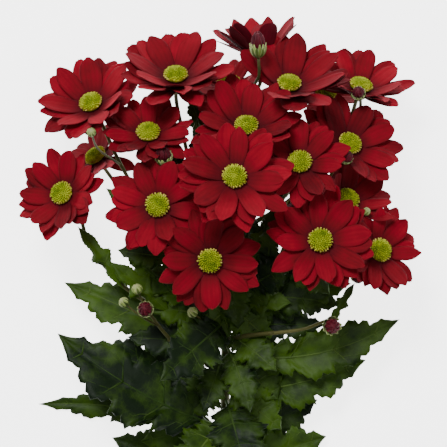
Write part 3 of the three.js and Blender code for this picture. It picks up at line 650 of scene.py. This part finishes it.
def petal_bend(form, place, corners):
    """The bend that the plain petal has, or None where the plain bloom leaves the petal out."""
    for bend in PETAL_BENDS:
        trial = bent(form, bend)
        widest = trial.length * PLAIN_WIDEST
        marks = [
            place @ on_petal(trial, trial.length, 0, 0),
            place @ on_petal(trial, widest, trial.half, PETAL_TROUGH),
            place @ on_petal(trial, widest, -trial.half, PETAL_TROUGH),
        ]
        if fits(marks, corners):
            return bend
    return None


# %% The width of one petal
PETAL_THICKNESS = 0.45
WIDEST = 0.64
BROADER = 1.14
ROOT_WIDTH = 0.42


def petal_width(along, blunt):
    """Half width of a petal as a share of its widest."""
    if along < WIDEST:
        return mix(ROOT_WIDTH, 1, math.sin(math.pi / 2 * along / WIDEST))
    past = (along - WIDEST) / (1 - WIDEST)
    tip_width = mix(0.16, 0.5, blunt)
    fullness = mix(1.9, 3.0, blunt)
    return 1 - (1 - tip_width) * past ** fullness


# %% The surface of one petal
PETAL_START = 1.5
GROOVE_DEPTH = 0.3
NOTCH_DEPTH = 0.7
NOTCHED_SHARE = 0.45
BLUNT_ENOUGH = 0.3
TIP_CROWDING = 1.35
TIP_ONSET = 8
CURL_FROM = 0.55
CURL_RUN = 0.2


def petal_surface(form, place):
    seed = form.seed
    twist = math.radians(vary(seed + 0.81, -15, 15))
    trough = mix(0.2, 2.0, draw(seed + 0.82) ** 2)
    curl = vary(seed + 0.83, -2.4, 1.6)
    notched = draw(seed + 0.84) < NOTCHED_SHARE and form.blunt > BLUNT_ENOUGH
    rounding = mix(1.2, 2.6, form.blunt)

    def surface(across, evenly):
        along = 1 - (1 - evenly) ** TIP_CROWDING
        width = form.half * BROADER * petal_width(along, form.blunt)
        tip = along ** TIP_ONSET
        grooves = math.cos(3 * math.pi * across)
        reach = form.length - tip * rounding * across * across
        if notched:
            reach -= tip * NOTCH_DEPTH * (1 - grooves)
        station = mix(PETAL_START, reach, along)
        ribs = GROOVE_DEPTH * grooves * min(1, along * 3)
        rise = trough * abs(across) ** 1.6 * min(1, along * 2) + ribs
        rise += curl * max(0, along - CURL_FROM) ** 2 / CURL_RUN
        roll = twist * along
        side = across * width * math.cos(roll)
        rise += across * width * math.sin(roll)
        return place @ on_petal(form, station, side, rise)

    return surface


# %% The hub that a head's petals grow from
HUB_HEIGHT = 4
HUB_TAPER = 0.9
SEAT_GAP = 0.3


def add_hub(form, place):
    middle = place @ Matrix.Translation((0, 0, -SEAT_GAP - HUB_HEIGHT / 2))
    bmesh.ops.create_cone(form, cap_ends=True, segments=20, radius1=HUB_RADIUS * HUB_TAPER,
                          radius2=HUB_RADIUS, depth=HUB_HEIGHT, matrix=middle)


# %% The petals in between
INNER_ROW = PetalRow(-2.2, 2, 0.97, 0.25)
INNER_SEED = 25
FORWARD_SHARE = 0.7
LEAST_BENT = PETAL_BENDS[:5]


def inner_petal(form, bloom):
    """A petal between two others, at a height between their rows. The plain model has none here."""
    seed = form.seed + INNER_SEED
    way = 1 if draw(seed) < FORWARD_SHARE else -1
    return form._replace(
        angle=form.angle + way * 360 * INNER_ROW.turn / bloom.petals,
        length=bloom.radius * INNER_ROW.length * vary(seed + 0.2, 0.9, 1.02),
        lift=bloom.cup + INNER_ROW.lift + vary(seed + 0.4, -3, 3),
        blunt=draw(seed + 0.7),
        height=INNER_ROW.height,
        seed=seed,
    )


def petal_tone(form, bloom_index):
    return vary(form.seed + 0.9, 0.25, 0.75) + vary(bloom_index + 0.91, -0.1, 0.1)


# %% All the petals
PETAL_FINISHES = [PETAL, PETAL_BACK]
PETAL_BACK_FINISH = 1
PETAL_ROWS = 8
PETAL_COLUMNS = 6
petal_count = 0
for bloom_index, bloom in enumerate(BLOOMS):
    place = facing(bloom)
    node = f"bloom_{bloom.name}_petals"
    corners = corner_finder(node)
    head = new_form()
    add_hub(head, place)
    for row_index in range(len(ROWS)):
        for index in range(bloom.petals):
            form = petal_form(bloom_index, row_index, index)
            bend = petal_bend(form, place, corners)
            if bend is None:
                continue
            petals = [bent(form, bend)]
            if row_index == 0 and bend in LEAST_BENT:
                petals.append(inner_petal(form, bloom))
            for petal in petals:
                add_blade(head, PETAL_ROWS, PETAL_COLUMNS, petal_surface(petal, place), PETAL_THICKNESS,
                          petal_tone(petal, bloom_index), back=PETAL_BACK_FINISH)
            petal_count += len(petals)
    for corner in head.verts:
        corner.co.z = max(corner.co.z, FLOOR_GAP)
    finish_piece(head, f"petals_{bloom.name}", PETAL_FINISHES, [node], smoothing=1)
print("petals:", petal_count)

# %% [markdown]
# The yellow-green disc is not a button but some hundred florets, set in the spiral that packs them most
# evenly: each is turned by the golden angle from the last. The florets in the middle are closed green
# knobs, and the oldest, at the rim, stand open and golden. One floret is a five-sided cone with a dimple,
# a few faces only, because it is repeated more than two thousand times.

# %% One floret
DIMPLE_WALL = 0.45
DIMPLE_DEPTH = 0.5
FLORET_SIDES = 5


def add_floret(form, place, wide, mouth, tall, tone, finish):
    made = bmesh.ops.create_cone(form, cap_ends=True, segments=FLORET_SIDES, radius1=wide, radius2=mouth,
                                 depth=tall, matrix=place)["verts"]
    tone_layer = form.verts.layers.float["tone"]
    for corner in made:
        corner[tone_layer] = tone
    faces = {face for corner in made for face in corner.link_faces}
    for face in faces:
        face.material_index = finish
    axis = place.to_3x3() @ Vector((0, 0, 1))
    ends = [face for face in faces if len(face.verts) == FLORET_SIDES]
    top = max(ends, key=lambda face: face.calc_center_median().dot(axis))
    bmesh.ops.inset_individual(form, faces=[top], thickness=mouth * DIMPLE_WALL * MM,
                               depth=-mouth * DIMPLE_DEPTH * MM)


# %% The dome that the florets stand on
DISC_RADIUS = 8
CORE_RADIUS = DISC_RADIUS * 0.94
CORE_SINK = 0.5
CORE_TONE = 0.35
CORE_RIM = 0.96
DOME_FALL = 0.38
RIM_FALL = 0.5


def dome_height(share):
    """The height of the dome, at a share of its radius from its middle."""
    return DISC_HEIGHT * (1 - DOME_FALL * share ** 2 - RIM_FALL * share ** 10)


def on_dome(share, turn):
    radius = share * DISC_RADIUS
    spot = Vector((math.cos(turn) * radius, math.sin(turn) * radius, dome_height(share)))
    outward = Vector((math.cos(turn) * share, math.sin(turn) * share, 1.1 - 0.5 * share)).normalized()
    return Matrix.Translation(spot) @ outward.to_track_quat("Z", "Y").to_matrix().to_4x4()


def add_core(form, place):
    core = bmesh.ops.create_uvsphere(form, u_segments=20, v_segments=8, radius=1)["verts"]
    tone_layer = form.verts.layers.float["tone"]
    for corner in core:
        corner[tone_layer] = CORE_TONE
        share = min(CORE_RIM, math.hypot(corner.co.x, corner.co.y) + 0.001)
        level = dome_height(share) - CORE_SINK if corner.co.z > 0.01 else SEAT_GAP
        corner.co = place @ Vector((corner.co.x * CORE_RADIUS, corner.co.y * CORE_RADIUS, level))


# %% All the florets of a disc
GOLDEN_ANGLE = math.pi * (3 - math.sqrt(5))
FLORETS = 96
RIM_FLORETS = 26
SPIRAL_REACH = 0.89
SEEDS_PER_DISC = 200
RIM_SEED = 120


def add_florets(form, place, bloom_index):
    for index in range(FLORETS):
        share = SPIRAL_REACH * math.sqrt((index + 0.4) / FLORETS)
        seed = bloom_index * SEEDS_PER_DISC + index
        turn = index * GOLDEN_ANGLE + bloom_index
        size = mix(0.52, 0.74, share)
        tone = 0.2 + 0.6 * share * share + vary(seed + 0.1, -0.25, 0.25)
        add_floret(form, place @ on_dome(share, turn), size, size * 0.72, mix(1.1, 1.7, share), tone, 0)
    for index in range(RIM_FLORETS):
        seed = bloom_index * SEEDS_PER_DISC + RIM_SEED + index
        turn = (index + 0.5 * draw(seed)) * math.tau / RIM_FLORETS
        share = vary(seed + 0.2, 0.9, 0.95)
        tall = vary(seed + 0.3, 1.0, 2.2)
        add_floret(form, place @ on_dome(share, turn), 0.45, 0.55, tall, draw(seed + 0.4), 1)


for bloom_index, bloom in enumerate(BLOOMS):
    place = facing(bloom)
    disc = new_form()
    add_core(disc, place)
    add_florets(disc, place, bloom_index)
    finish_piece(disc, f"disc_{bloom.name}", [FLORET, FLORET_RIM], [f"bloom_{bloom.name}_disc"])
print("florets on each disc:", FLORETS + RIM_FLORETS)

# %% [markdown]
# Stalks are ribbed, tapering tubes. A ring of vertices is extruded from point to point along a smooth
# curve, and each new ring is turned to face along it. A curve object with a round bevel would be quicker
# to make, but it can't have ribs that run along the stalk, and those catch the light on a real one.

# %% A smooth curve through a few points
LEAST_GAP = 1e-3


def smooth_path(points, step):
    """A curve through all the points, cut into steps of about the same length."""
    points = [Vector(point) for point in points]
    padded = [points[0] * 2 - points[1], *points, points[-1] * 2 - points[-2]]
    path = []
    for before, start, end, after in zip(padded, padded[1:], padded[2:], padded[3:]):
        pairs = ((before, start), (start, end), (end, after))
        gaps = [max(LEAST_GAP, (b - a).length ** 0.5) for a, b in pairs]
        leave = (start - before) / gaps[0] - (end - before) / (gaps[0] + gaps[1]) + (end - start) / gaps[1]
        arrive = (end - start) / gaps[1] - (after - start) / (gaps[1] + gaps[2]) + (after - end) / gaps[2]
        leave, arrive = leave * gaps[1], arrive * gaps[1]
        bend = start * 2 - end * 2 + leave + arrive
        pull = end * 3 - start * 3 - leave * 2 - arrive
        count = max(1, round((end - start).length / step))
        path += [start + (leave + (pull + bend * t) * t) * t for t in (i / count for i in range(count))]
    return [*path, points[-1]]


# %% A ribbed tube along a path
def add_tube(form, path, start_radius, end_radius, sides, rib=0.0, tone=0.5, finish=0):
    """Works in the table's millimetres, and closes both ends."""
    ring = bmesh.ops.create_circle(form, segments=sides, radius=1)["verts"]
    for index, corner in enumerate(ring):
        corner.co *= 1 + (rib if index % 2 else -rib)
    edges = {edge for corner in ring for edge in corner.link_edges}
    ends = [list(edges)]
    lengths = [0.0]
    for start, end in zip(path, path[1:]):
        lengths.append(lengths[-1] + (end - start).length)
    made = set(ring)
    heading = (path[1] - path[0]).normalized()
    turn = heading.to_track_quat("Z", "Y")
    last = Matrix.Identity(4)
    for index, point in enumerate(path):
        if index:
            parts = bmesh.ops.extrude_edge_only(form, edges=list(edges))["geom"]
            ring = [part for part in parts if isinstance(part, bmesh.types.BMVert)]
            fresh = set(ring)
            edges = {part for part in parts
                     if isinstance(part, bmesh.types.BMEdge) and fresh.issuperset(part.verts)}
            made.update(fresh)
            ahead = (path[min(index + 1, len(path) - 1)] - path[index - 1]).normalized()
            turn = heading.rotation_difference(ahead) @ turn
            heading = ahead
        radius = mix(start_radius, end_radius, lengths[index] / lengths[-1])
        now = TO_FRAME @ Matrix.Translation(point) @ turn.to_matrix().to_4x4() @ Matrix.Scale(radius, 4)
        bmesh.ops.transform(form, matrix=now @ last.inverted(), verts=ring)
        last = now
    ends.append(list(edges))
    for loop in ends:
        bmesh.ops.edgeloop_fill(form, edges=loop)
    tone_layer = form.verts.layers.float["tone"]
    faces = {face for corner in made for face in corner.link_faces}
    for corner in made:
        corner[tone_layer] = tone
    for face in faces:
        face.material_index = finish
    bmesh.ops.recalc_face_normals(form, faces=list(faces))


# %% Where each stalk ends, behind its bloom or bud
CUP_HEIGHT = 4.5
CUP_BOTTOM = -2 * SEAT_GAP - HUB_HEIGHT - CUP_HEIGHT
BUD_CUP_DEPTH = 0.75
NECK_LENGTH = 13
NECK_OVERLAP = 1


def stalk_points(item, cup_bottom):
    place = Matrix.Translation(item.at) @ turned(item)
    neck = [place @ Vector((0, 0, cup_bottom - NECK_LENGTH)),
            place @ Vector((0, 0, cup_bottom + NECK_OVERLAP))]
    return [*item.stalk, *neck]


# %% The main stem, its branches and every stalk
STEM_SIDES = 12
STALK_SIDES = 8
STEM_RIB = 0.05
STALK_RIB = 0.06
STEM_POINTS_APART = 5
STALK_POINTS_APART = 4
STEM_RADII = (3.6, 2.2)
STEM_TONE = 0.45
LATERAL_RADII = (2.0, 1.4)
BLOOM_STALK_RADII = (1.4, 1.4)
BUD_STALK_RADII = (1.4, 1.0)
GREEN_STALK_RADII = (0.9, 0.6)

stalks = new_form()
add_tube(stalks, smooth_path(MAIN_STEM, STEM_POINTS_APART), *STEM_RADII, STEM_SIDES, STEM_RIB, STEM_TONE)
for index, lateral in enumerate(LATERALS):
    path = smooth_path(lateral, STALK_POINTS_APART)
    add_tube(stalks, path, *LATERAL_RADII, STALK_SIDES, STEM_RIB, vary(index, 0.4, 0.7))
for index, bloom in enumerate(BLOOMS):
    path = smooth_path(stalk_points(bloom, CUP_BOTTOM), STALK_POINTS_APART)
    add_tube(stalks, path, *BLOOM_STALK_RADII, STALK_SIDES, STALK_RIB, draw(index + 0.3))
for index, bud in enumerate(BUDS):
    path = smooth_path(stalk_points(bud, -bud.size * BUD_CUP_DEPTH), STALK_POINTS_APART)
    add_tube(stalks, path, *BUD_STALK_RADII, STALK_SIDES, STALK_RIB, vary(index + 0.7, 0.5, 1.0))
for index, bud in enumerate(GREEN_BUDS):
    path = smooth_path([*bud.stalk, bud.at], STALK_POINTS_APART)
    add_tube(stalks, path, *GREEN_STALK_RADII, STALK_SIDES, STALK_RIB, vary(index + 0.9, 0.6, 1.1))
print("stalk faces:", len(stalks.faces))
finish_piece(stalks, "stalks", [STALK], ["stem"])

# %% [markdown]
# Behind each bloom is a green cup of overlapping scales, the bracts. Round a bud they reach half way up,
# pale and papery at the edge, with the red petals folded over one another inside. All of these are blades
# wrapped round an axis: one function sets a grid on a profile of radius and height.


# %% Scales and folded petals round an axis
SCALE_CROWN = 0.12
NARROWEST = 0.08


def wrapped(place, turn, spread, profile):
    """A blade that follows a profile of radius and height pairs, spread radians to either side."""
    last = len(profile) - 1

    def surface(across, along):
        spot = min(along * last, last - 1e-6)
        low = int(spot)
        radius = mix(profile[low][0], profile[low + 1][0], spot - low)
        height = mix(profile[low][1], profile[low + 1][1], spot - low)
        angle = turn - across * spread * max(NARROWEST, 1 - along ** 2) ** 0.6
        radius += SCALE_CROWN * (1 - across * across)
        return place @ Vector((math.cos(angle) * radius, math.sin(angle) * radius, height))

    return surface


def add_whorl(form, place, count, spread, profile, thickness, seed, finish=0, rows=4, columns=2):
    before = set(form.faces)
    for index in range(count):
        turn = (index + 0.35 * draw(seed + index)) * math.tau / count + seed
        add_blade(form, rows, columns, wrapped(place, turn, spread, profile), thickness,
                  vary(seed + index + 0.5, 0.2, 0.8))
    for face in set(form.faces) - before:
        face.material_index = finish


# %% The cups behind the blooms
CUP_TOP = CUP_BOTTOM + CUP_HEIGHT
SCALE_THICKNESS = 0.3
SCALE_SPREAD = 0.34
LOW_SCALES = [(1.6, CUP_BOTTOM - 0.6), (4.2, CUP_BOTTOM + 0.6), (5.7, CUP_BOTTOM + 2.2), (6.3, CUP_TOP - 1)]
HIGH_SCALES = [(3.6, CUP_BOTTOM), (5.7, CUP_BOTTOM + 1.8), (6.6, CUP_TOP - 1), (7.2, CUP_TOP + 0.3)]

cups = new_form()
for index, bloom in enumerate(BLOOMS):
    place = facing(bloom)
    bowl = place @ Matrix.Translation((0, 0, CUP_BOTTOM + CUP_HEIGHT / 2))
    bmesh.ops.create_cone(cups, cap_ends=True, segments=16, radius1=3.0, radius2=6.2, depth=CUP_HEIGHT,
                          matrix=bowl)
    add_whorl(cups, place, 9, SCALE_SPREAD, HIGH_SCALES, SCALE_THICKNESS, index)
    add_whorl(cups, place, 8, SCALE_SPREAD, LOW_SCALES, SCALE_THICKNESS, index + 0.37)
print("cup faces:", len(cups.faces))
finish_piece(cups, "cups", [BRACT], ["stem"])


# %% How a bud swells and closes
BUD_NARROWING = 0.25
HEART_SIZE = 0.8
HEART_LENGTH = 0.9
PROFILE_STEPS = 6


def bud_belly(size, height):
    """The radius of a bud's sides at a height from 0 to 1."""
    return size * (1 - BUD_NARROWING * height)


def dome_profile(size, length, scale, end):
    """Up the side of a bud and over towards its top, which end places on the way."""
    profile = []
    for index in range(PROFILE_STEPS + 1):
        polar = mix(0.1, end, index / PROFILE_STEPS) * math.pi
        height = (1 - math.cos(polar)) / 2
        rise = height * length * mix(0.94, 1, scale)
        profile.append((math.sin(polar) * bud_belly(size * scale, height), SEAT_GAP + rise))
    return profile


def add_heart(form, place, bud):
    """The closed core that the folded petals lie on."""
    heart = bmesh.ops.create_uvsphere(form, u_segments=12, v_segments=8, radius=1)["verts"]
    for corner in heart:
        height = (corner.co.z + 1) / 2
        belly = bud_belly(bud.size * HEART_SIZE, height)
        level = SEAT_GAP + height * bud.length * HEART_LENGTH
        corner.co = place @ Vector((corner.co.x * belly, corner.co.y * belly, level))


# %% The red buds
BudLayer = namedtuple("BudLayer", "count spread scale end turn")
BUD_LAYERS = [
    BudLayer(6, 0.42, 0.86, 0.93, 0),
    BudLayer(8, 0.36, 0.94, 0.82, 0.4),
    BudLayer(9, 0.33, 1.02, 0.68, 0.8),
]
for index, bud in enumerate(BUDS):
    place = facing(bud)
    folded = new_form()
    add_heart(folded, place, bud)
    for layer in BUD_LAYERS:
        profile = dome_profile(bud.size, bud.length, layer.scale, layer.end)
        add_whorl(folded, place, layer.count, layer.spread, profile, SCALE_THICKNESS, index + layer.turn,
                  rows=7, columns=4)
    finish_piece(folded, f"bud_petals_{bud.name}", [BUD_PETAL], [f"bud_{bud.name}"])
print("folded petals on each bud:", sum(layer.count for layer in BUD_LAYERS))

# %% The buds' sepals
SEPAL_FINISHES = [BRACT, PALE_BRACT]
PALE_FINISH = 1
SEPAL_SPREAD = 0.3
OPENING_BUDS = ("right_low", "centre_right")


def sepal_profile(size, length, flare):
    return [
        (size * 0.35, -size * BUD_CUP_DEPTH),
        (size * 0.92, -size * 0.25),
        (size * 1.04, length * 0.18),
        (size * (1.04 + flare), length * 0.42),
    ]


sepals = new_form()
for index, bud in enumerate(BUDS):
    place = facing(bud)
    flare = 0.16 if bud.name in OPENING_BUDS else 0.04
    cup = place @ Matrix.Translation((0, 0, -bud.size * BUD_CUP_DEPTH / 2))
    bmesh.ops.create_cone(sepals, cap_ends=True, segments=12, radius1=bud.size * 0.4,
                          radius2=bud.size * 0.85, depth=bud.size * BUD_CUP_DEPTH, matrix=cup)
    inner_sepals = sepal_profile(bud.size, bud.length, flare)
    outer_sepals = sepal_profile(bud.size * 1.03, bud.length * 0.6, 0.02)
    add_whorl(sepals, place, 11, SEPAL_SPREAD, inner_sepals, SCALE_THICKNESS, index + 0.2,
              finish=PALE_FINISH)
    add_whorl(sepals, place, 8, SEPAL_SPREAD, outer_sepals, SCALE_THICKNESS, index + 0.6)
print("sepal faces:", len(sepals.faces))

# %% The green buds, closed in their sepals
GREEN_THICKNESS = 0.25


def round_profile(size, polars):
    return [(math.sin(polar) * size, -math.cos(polar) * size) for polar in polars]


for index, bud in enumerate(GREEN_BUDS):
    towards = (Vector(bud.at) - Vector(bud.stalk[-1])).to_track_quat("Z", "Y").to_matrix().to_4x4()
    place = TO_FRAME @ Matrix.Translation(bud.at) @ towards
    bmesh.ops.create_uvsphere(sepals, u_segments=12, v_segments=8, radius=bud.size * 0.9, matrix=place)
    high = round_profile(bud.size * 0.96, (1.0, 1.5, 2.0, 2.5, 2.85))
    low = round_profile(bud.size, (0.4, 0.9, 1.4, 1.9, 2.3))
    add_whorl(sepals, place, 9, SEPAL_SPREAD, high, GREEN_THICKNESS, index + 0.1, finish=PALE_FINISH)
    add_whorl(sepals, place, 7, SCALE_SPREAD, low, GREEN_THICKNESS, index + 0.5)
print("with the green buds:", len(sepals.faces))
finish_piece(sepals, "sepals", SEPAL_FINISHES, ["stem"])

# %% [markdown]
# A chrysanthemum leaf is cut into lobes with small teeth. It could be drawn as an outline and filled, but
# then it would have no rows of faces to bend. Here it is a grid instead: each column runs from the midrib
# to a point of the cut edge, in the direction that the side veins take, so the blade can swell between
# its veins and sink along them. The veins are fine tapering tubes laid on it.

# %% A leaf's cut edge, and the columns that reach it
# Each point of an edge is a share of the leaf's length and a share of its half width.
LEAF_EDGE = [
    (0.15, 0.1), (0.2, 0.4), (0.26, 0.7), (0.3, 0.58), (0.37, 0.78), (0.38, 0.5),
    (0.43, 0.74), (0.51, 1), (0.54, 0.8), (0.61, 0.88), (0.61, 0.56),
    (0.66, 0.7), (0.74, 0.82), (0.77, 0.62), (0.82, 0.6), (0.83, 0.38),
    (0.9, 0.38), (0.94, 0.2),
]
SMALL_EDGE = [(0.03, 0.14), (0.3, 0.6), (0.38, 0.35), (0.55, 1), (0.62, 0.5), (0.8, 0.55)]
LEAN_OF_VEINS = 0.13
EDGE_STRETCH = 5
EDGE_STEP = 0.13
FINE_TEETH = 0.06
FOOT_WIDTH = 0.03
LEAST_STEP = 0.001


def leaf_columns(edge, first):
    """For each column: where it starts on the midrib, and the place on the edge that it runs to."""
    marks = [(first * EDGE_STRETCH, FOOT_WIDTH, 0)]
    marks += [(station * EDGE_STRETCH, offset, 0) for station, offset in edge]
    marks += [(EDGE_STRETCH, 0, 0)]
    columns = []
    reached = first
    for index, spot in enumerate(smooth_path(marks, EDGE_STEP)):
        station = spot.x / EDGE_STRETCH
        offset = max(0.0, spot.y) * (1 + (FINE_TEETH if index % 2 else -FINE_TEETH))
        reached = max(reached + LEAST_STEP, station - LEAN_OF_VEINS * offset)
        columns.append((reached, station, offset))
    return columns


def column_near(columns, mark):
    return min(range(len(columns)), key=lambda i: math.dist(columns[i][1:], mark))


LEAF_COLUMNS = leaf_columns(LEAF_EDGE, 0.1)
SMALL_COLUMNS = leaf_columns(SMALL_EDGE, 0.0)
print("columns in a large leaf:", len(LEAF_COLUMNS), "and in a small one:", len(SMALL_COLUMNS))

# %% Where the side veins run, from the midrib to a tooth or from one vein to the next tooth
FORK_SHARE = 0.4
Vein = namedtuple("Vein", "start share end")


def side_veins(columns, edge, marks, forks=()):
    """Each vein leaves from a column, at a share of the way to the edge, and ends at another's tooth."""
    ends = [column_near(columns, edge[mark]) for mark in marks]
    veins = [Vein(end, 0, end) for end in ends]
    for start, end in forks:
        veins.append(Vein(column_near(columns, edge[start]), FORK_SHARE, column_near(columns, edge[end])))
    return veins


LEAF_FORKS = [(2, 4), (7, 6), (7, 9), (12, 11), (12, 14)]
LEAF_VEINS = side_veins(LEAF_COLUMNS, LEAF_EDGE, (2, 7, 12, 16), LEAF_FORKS)
SMALL_VEINS = side_veins(SMALL_COLUMNS, SMALL_EDGE, (1, 3, 5))
print("side veins in half a large leaf:", len(LEAF_VEINS), "and in half a small one:", len(SMALL_VEINS))

# %% The frame of a leaf, and its plain surface
LEAF_FOLD = 0.18


def leaf_axes(leaf, rise):
    base = Vector(leaf.base)
    along = Vector(leaf.tip) + Vector((0, 0, rise)) - base
    length = along.length
    along.normalize()
    across = Vector(leaf.face).cross(along).normalized()
    return base, along, across, along.cross(across), length


def on_leaf(leaf, axes, station, offset, height):
    base, along, across, up, length = axes
    middle = length * 4 * station * (1 - station)
    fold = LEAF_FOLD * abs(offset) * leaf.half
    side = offset * leaf.half + leaf.bow * middle
    return base + along * station * length + across * side + up * (leaf.arch * middle + fold + height)


# %% The swollen and waved surface, which differs a little from side to side
REFERENCE_HALF = 20
SWELL = 1.1
SWELL_RUN = 0.05
WAVES = 2.4
WAVE_PITCH = (5, 1.5)
SIDE_SHIFT = 0.02
SIDE_SHIFT_RUN = 5
SIDE_SHARE = 0.94


def leaf_point(leaf, axes, columns, veins, column, across, height):
    """A place on the blade, in the table's millimetres. The column may lie between two of the columns."""
    low = min(int(column), len(columns) - 2)
    mid, station, offset = (mix(a, b, column - low) for a, b in zip(columns[low], columns[low + 1]))
    share = abs(across)
    if across < 0:
        station -= SIDE_SHIFT * min(1, offset * SIDE_SHIFT_RUN)
        offset *= SIDE_SHARE
    scale = leaf.half / REFERENCE_HALF
    from_vein = min(abs(mid - columns[vein.start][0]) for vein in veins if vein.share == 0)
    swell = SWELL * scale * min(1, from_vein / SWELL_RUN) * math.sin(math.pi * share ** 0.8)
    station = mix(mid, station, share)
    reach = offset * share
    spot = Vector((station * WAVE_PITCH[0], across * WAVE_PITCH[1], leaf.half + leaf.base[1]))
    wave = WAVES * scale * noise.noise(spot) * reach
    return on_leaf(leaf, axes, station, math.copysign(reach, across), height + swell + wave)


# %% One whole leaf
LEAF_FINISHES = [LEAF_TOP, LEAF_BACK, VEIN]
BACK_FINISH = 1
VEIN_FINISH = 2
SHEET_THICKNESS = 0.6
SHEET_HEIGHT = 0.3
MIDRIB_HEIGHT = 0.1
MIDRIB_STEPS = 12
PETIOLE_STEPS = 4
PETIOLE_RADIUS = 1.3
MIDRIB_RADIUS = 0.7
MIDRIB_TIP = 0.2
MIDRIB_SIDES = 6
VEIN_HEIGHT = 0.12
VEIN_RADIUS = 0.6
FORK_RADIUS = 0.36
VEIN_TIP = 0.1
VEIN_SIDES = 5
VEIN_REACH = 0.94
LEAST_VEIN_SCALE = 0.6


def vein_path(leaf, axes, columns, veins, vein, side):
    path = []
    for t in (0, 0.25, 0.5, 0.75, 1):
        column = mix(vein.start, vein.end, t)
        across = side * mix(vein.share, VEIN_REACH, t)
        path.append(leaf_point(leaf, axes, columns, veins, column, across, VEIN_HEIGHT))
    return path


def add_leaf(form, leaf, rise, columns, veins, petiole, rows_each_side=4):
    axes = leaf_axes(leaf, rise)
    last = len(columns) - 1
    scale = leaf.half / REFERENCE_HALF

    def blade(across, evenly):
        column = round(evenly * last)
        return TO_FRAME @ leaf_point(leaf, axes, columns, veins, column, across, SHEET_HEIGHT)

    before = set(form.verts)
    tone = draw(leaf.base[1] + leaf.tip[0])
    add_blade(form, last, rows_each_side * 2, blade, SHEET_THICKNESS, tone, back=BACK_FINISH)
    midrib = []
    if petiole:
        stations = [columns[0][0] * index / PETIOLE_STEPS for index in range(PETIOLE_STEPS + 1)]
        midrib = [on_leaf(leaf, axes, station, 0, 0) for station in stations]
    for index in range(1, MIDRIB_STEPS + 1):
        column = last * index / MIDRIB_STEPS
        midrib.append(leaf_point(leaf, axes, columns, veins, column, 0, MIDRIB_HEIGHT))
    foot_radius = PETIOLE_RADIUS if petiole else MIDRIB_RADIUS * scale
    add_tube(form, midrib, foot_radius, MIDRIB_TIP, MIDRIB_SIDES, tone=tone, finish=VEIN_FINISH)
    for vein in veins:
        for side in (-1, 1):
            path = vein_path(leaf, axes, columns, veins, vein, side)
            radius = (FORK_RADIUS if vein.share else VEIN_RADIUS) * max(scale, LEAST_VEIN_SCALE)
            add_tube(form, path, radius, VEIN_TIP, VEIN_SIDES, tone=tone, finish=VEIN_FINISH)
    for corner in set(form.verts) - before:
        corner.co.z = max(corner.co.z, FLOOR_GAP)


# %% The large leaves
LEAF_RISES = (0, 6, -6, 12, -12, 18, -18, 26, -26)
PLAIN_HALF_THICKNESS = 0.4
MARKED_TEETH = ((1, 0), LEAF_EDGE[7], LEAF_EDGE[12])


def leaf_rise(leaf, corners):
    """How far the plain leaf's tip was raised or lowered to clear its neighbours."""
    for rise in LEAF_RISES:
        axes = leaf_axes(leaf, rise)
        marks = [TO_FRAME @ on_leaf(leaf, axes, *mark, PLAIN_HALF_THICKNESS) for mark in MARKED_TEETH]
        if fits(marks, corners):
            return rise
    print("no bend found for leaf", leaf.name)
    return 0


for leaf in LEAVES:
    node = f"leaf_{leaf.name}"
    blade = new_form()
    rise = leaf_rise(leaf, corner_finder(node))
    add_leaf(blade, leaf, rise, LEAF_COLUMNS, LEAF_VEINS, petiole=True)
    print(leaf.name, "raised by", rise, "faces", len(blade.faces))
    finish_piece(blade, f"blade_{leaf.name}", LEAF_FINISHES, [node])

# %% The small leaves on the branches
small = new_form()
for leaf in SMALL_LEAVES:
    add_leaf(small, leaf, 0, SMALL_COLUMNS, SMALL_VEINS, petiole=False, rows_each_side=3)
print("small leaves' faces:", len(small.faces))
finish_piece(small, "small_leaves", LEAF_FINISHES, ["stem"])

# %% The leaves inside the foliage, which fill it as densely as in the photograph
for index, leaf in enumerate(INNER_LEAVES):
    inner = new_form()
    add_leaf(inner, leaf, 0, LEAF_COLUMNS, LEAF_VEINS, petiole=True, rows_each_side=3)
    finish_piece(inner, f"inner_leaf_{index:02d}", LEAF_FINISHES, ["stem"])
print("inner leaves:", len(INNER_LEAVES))
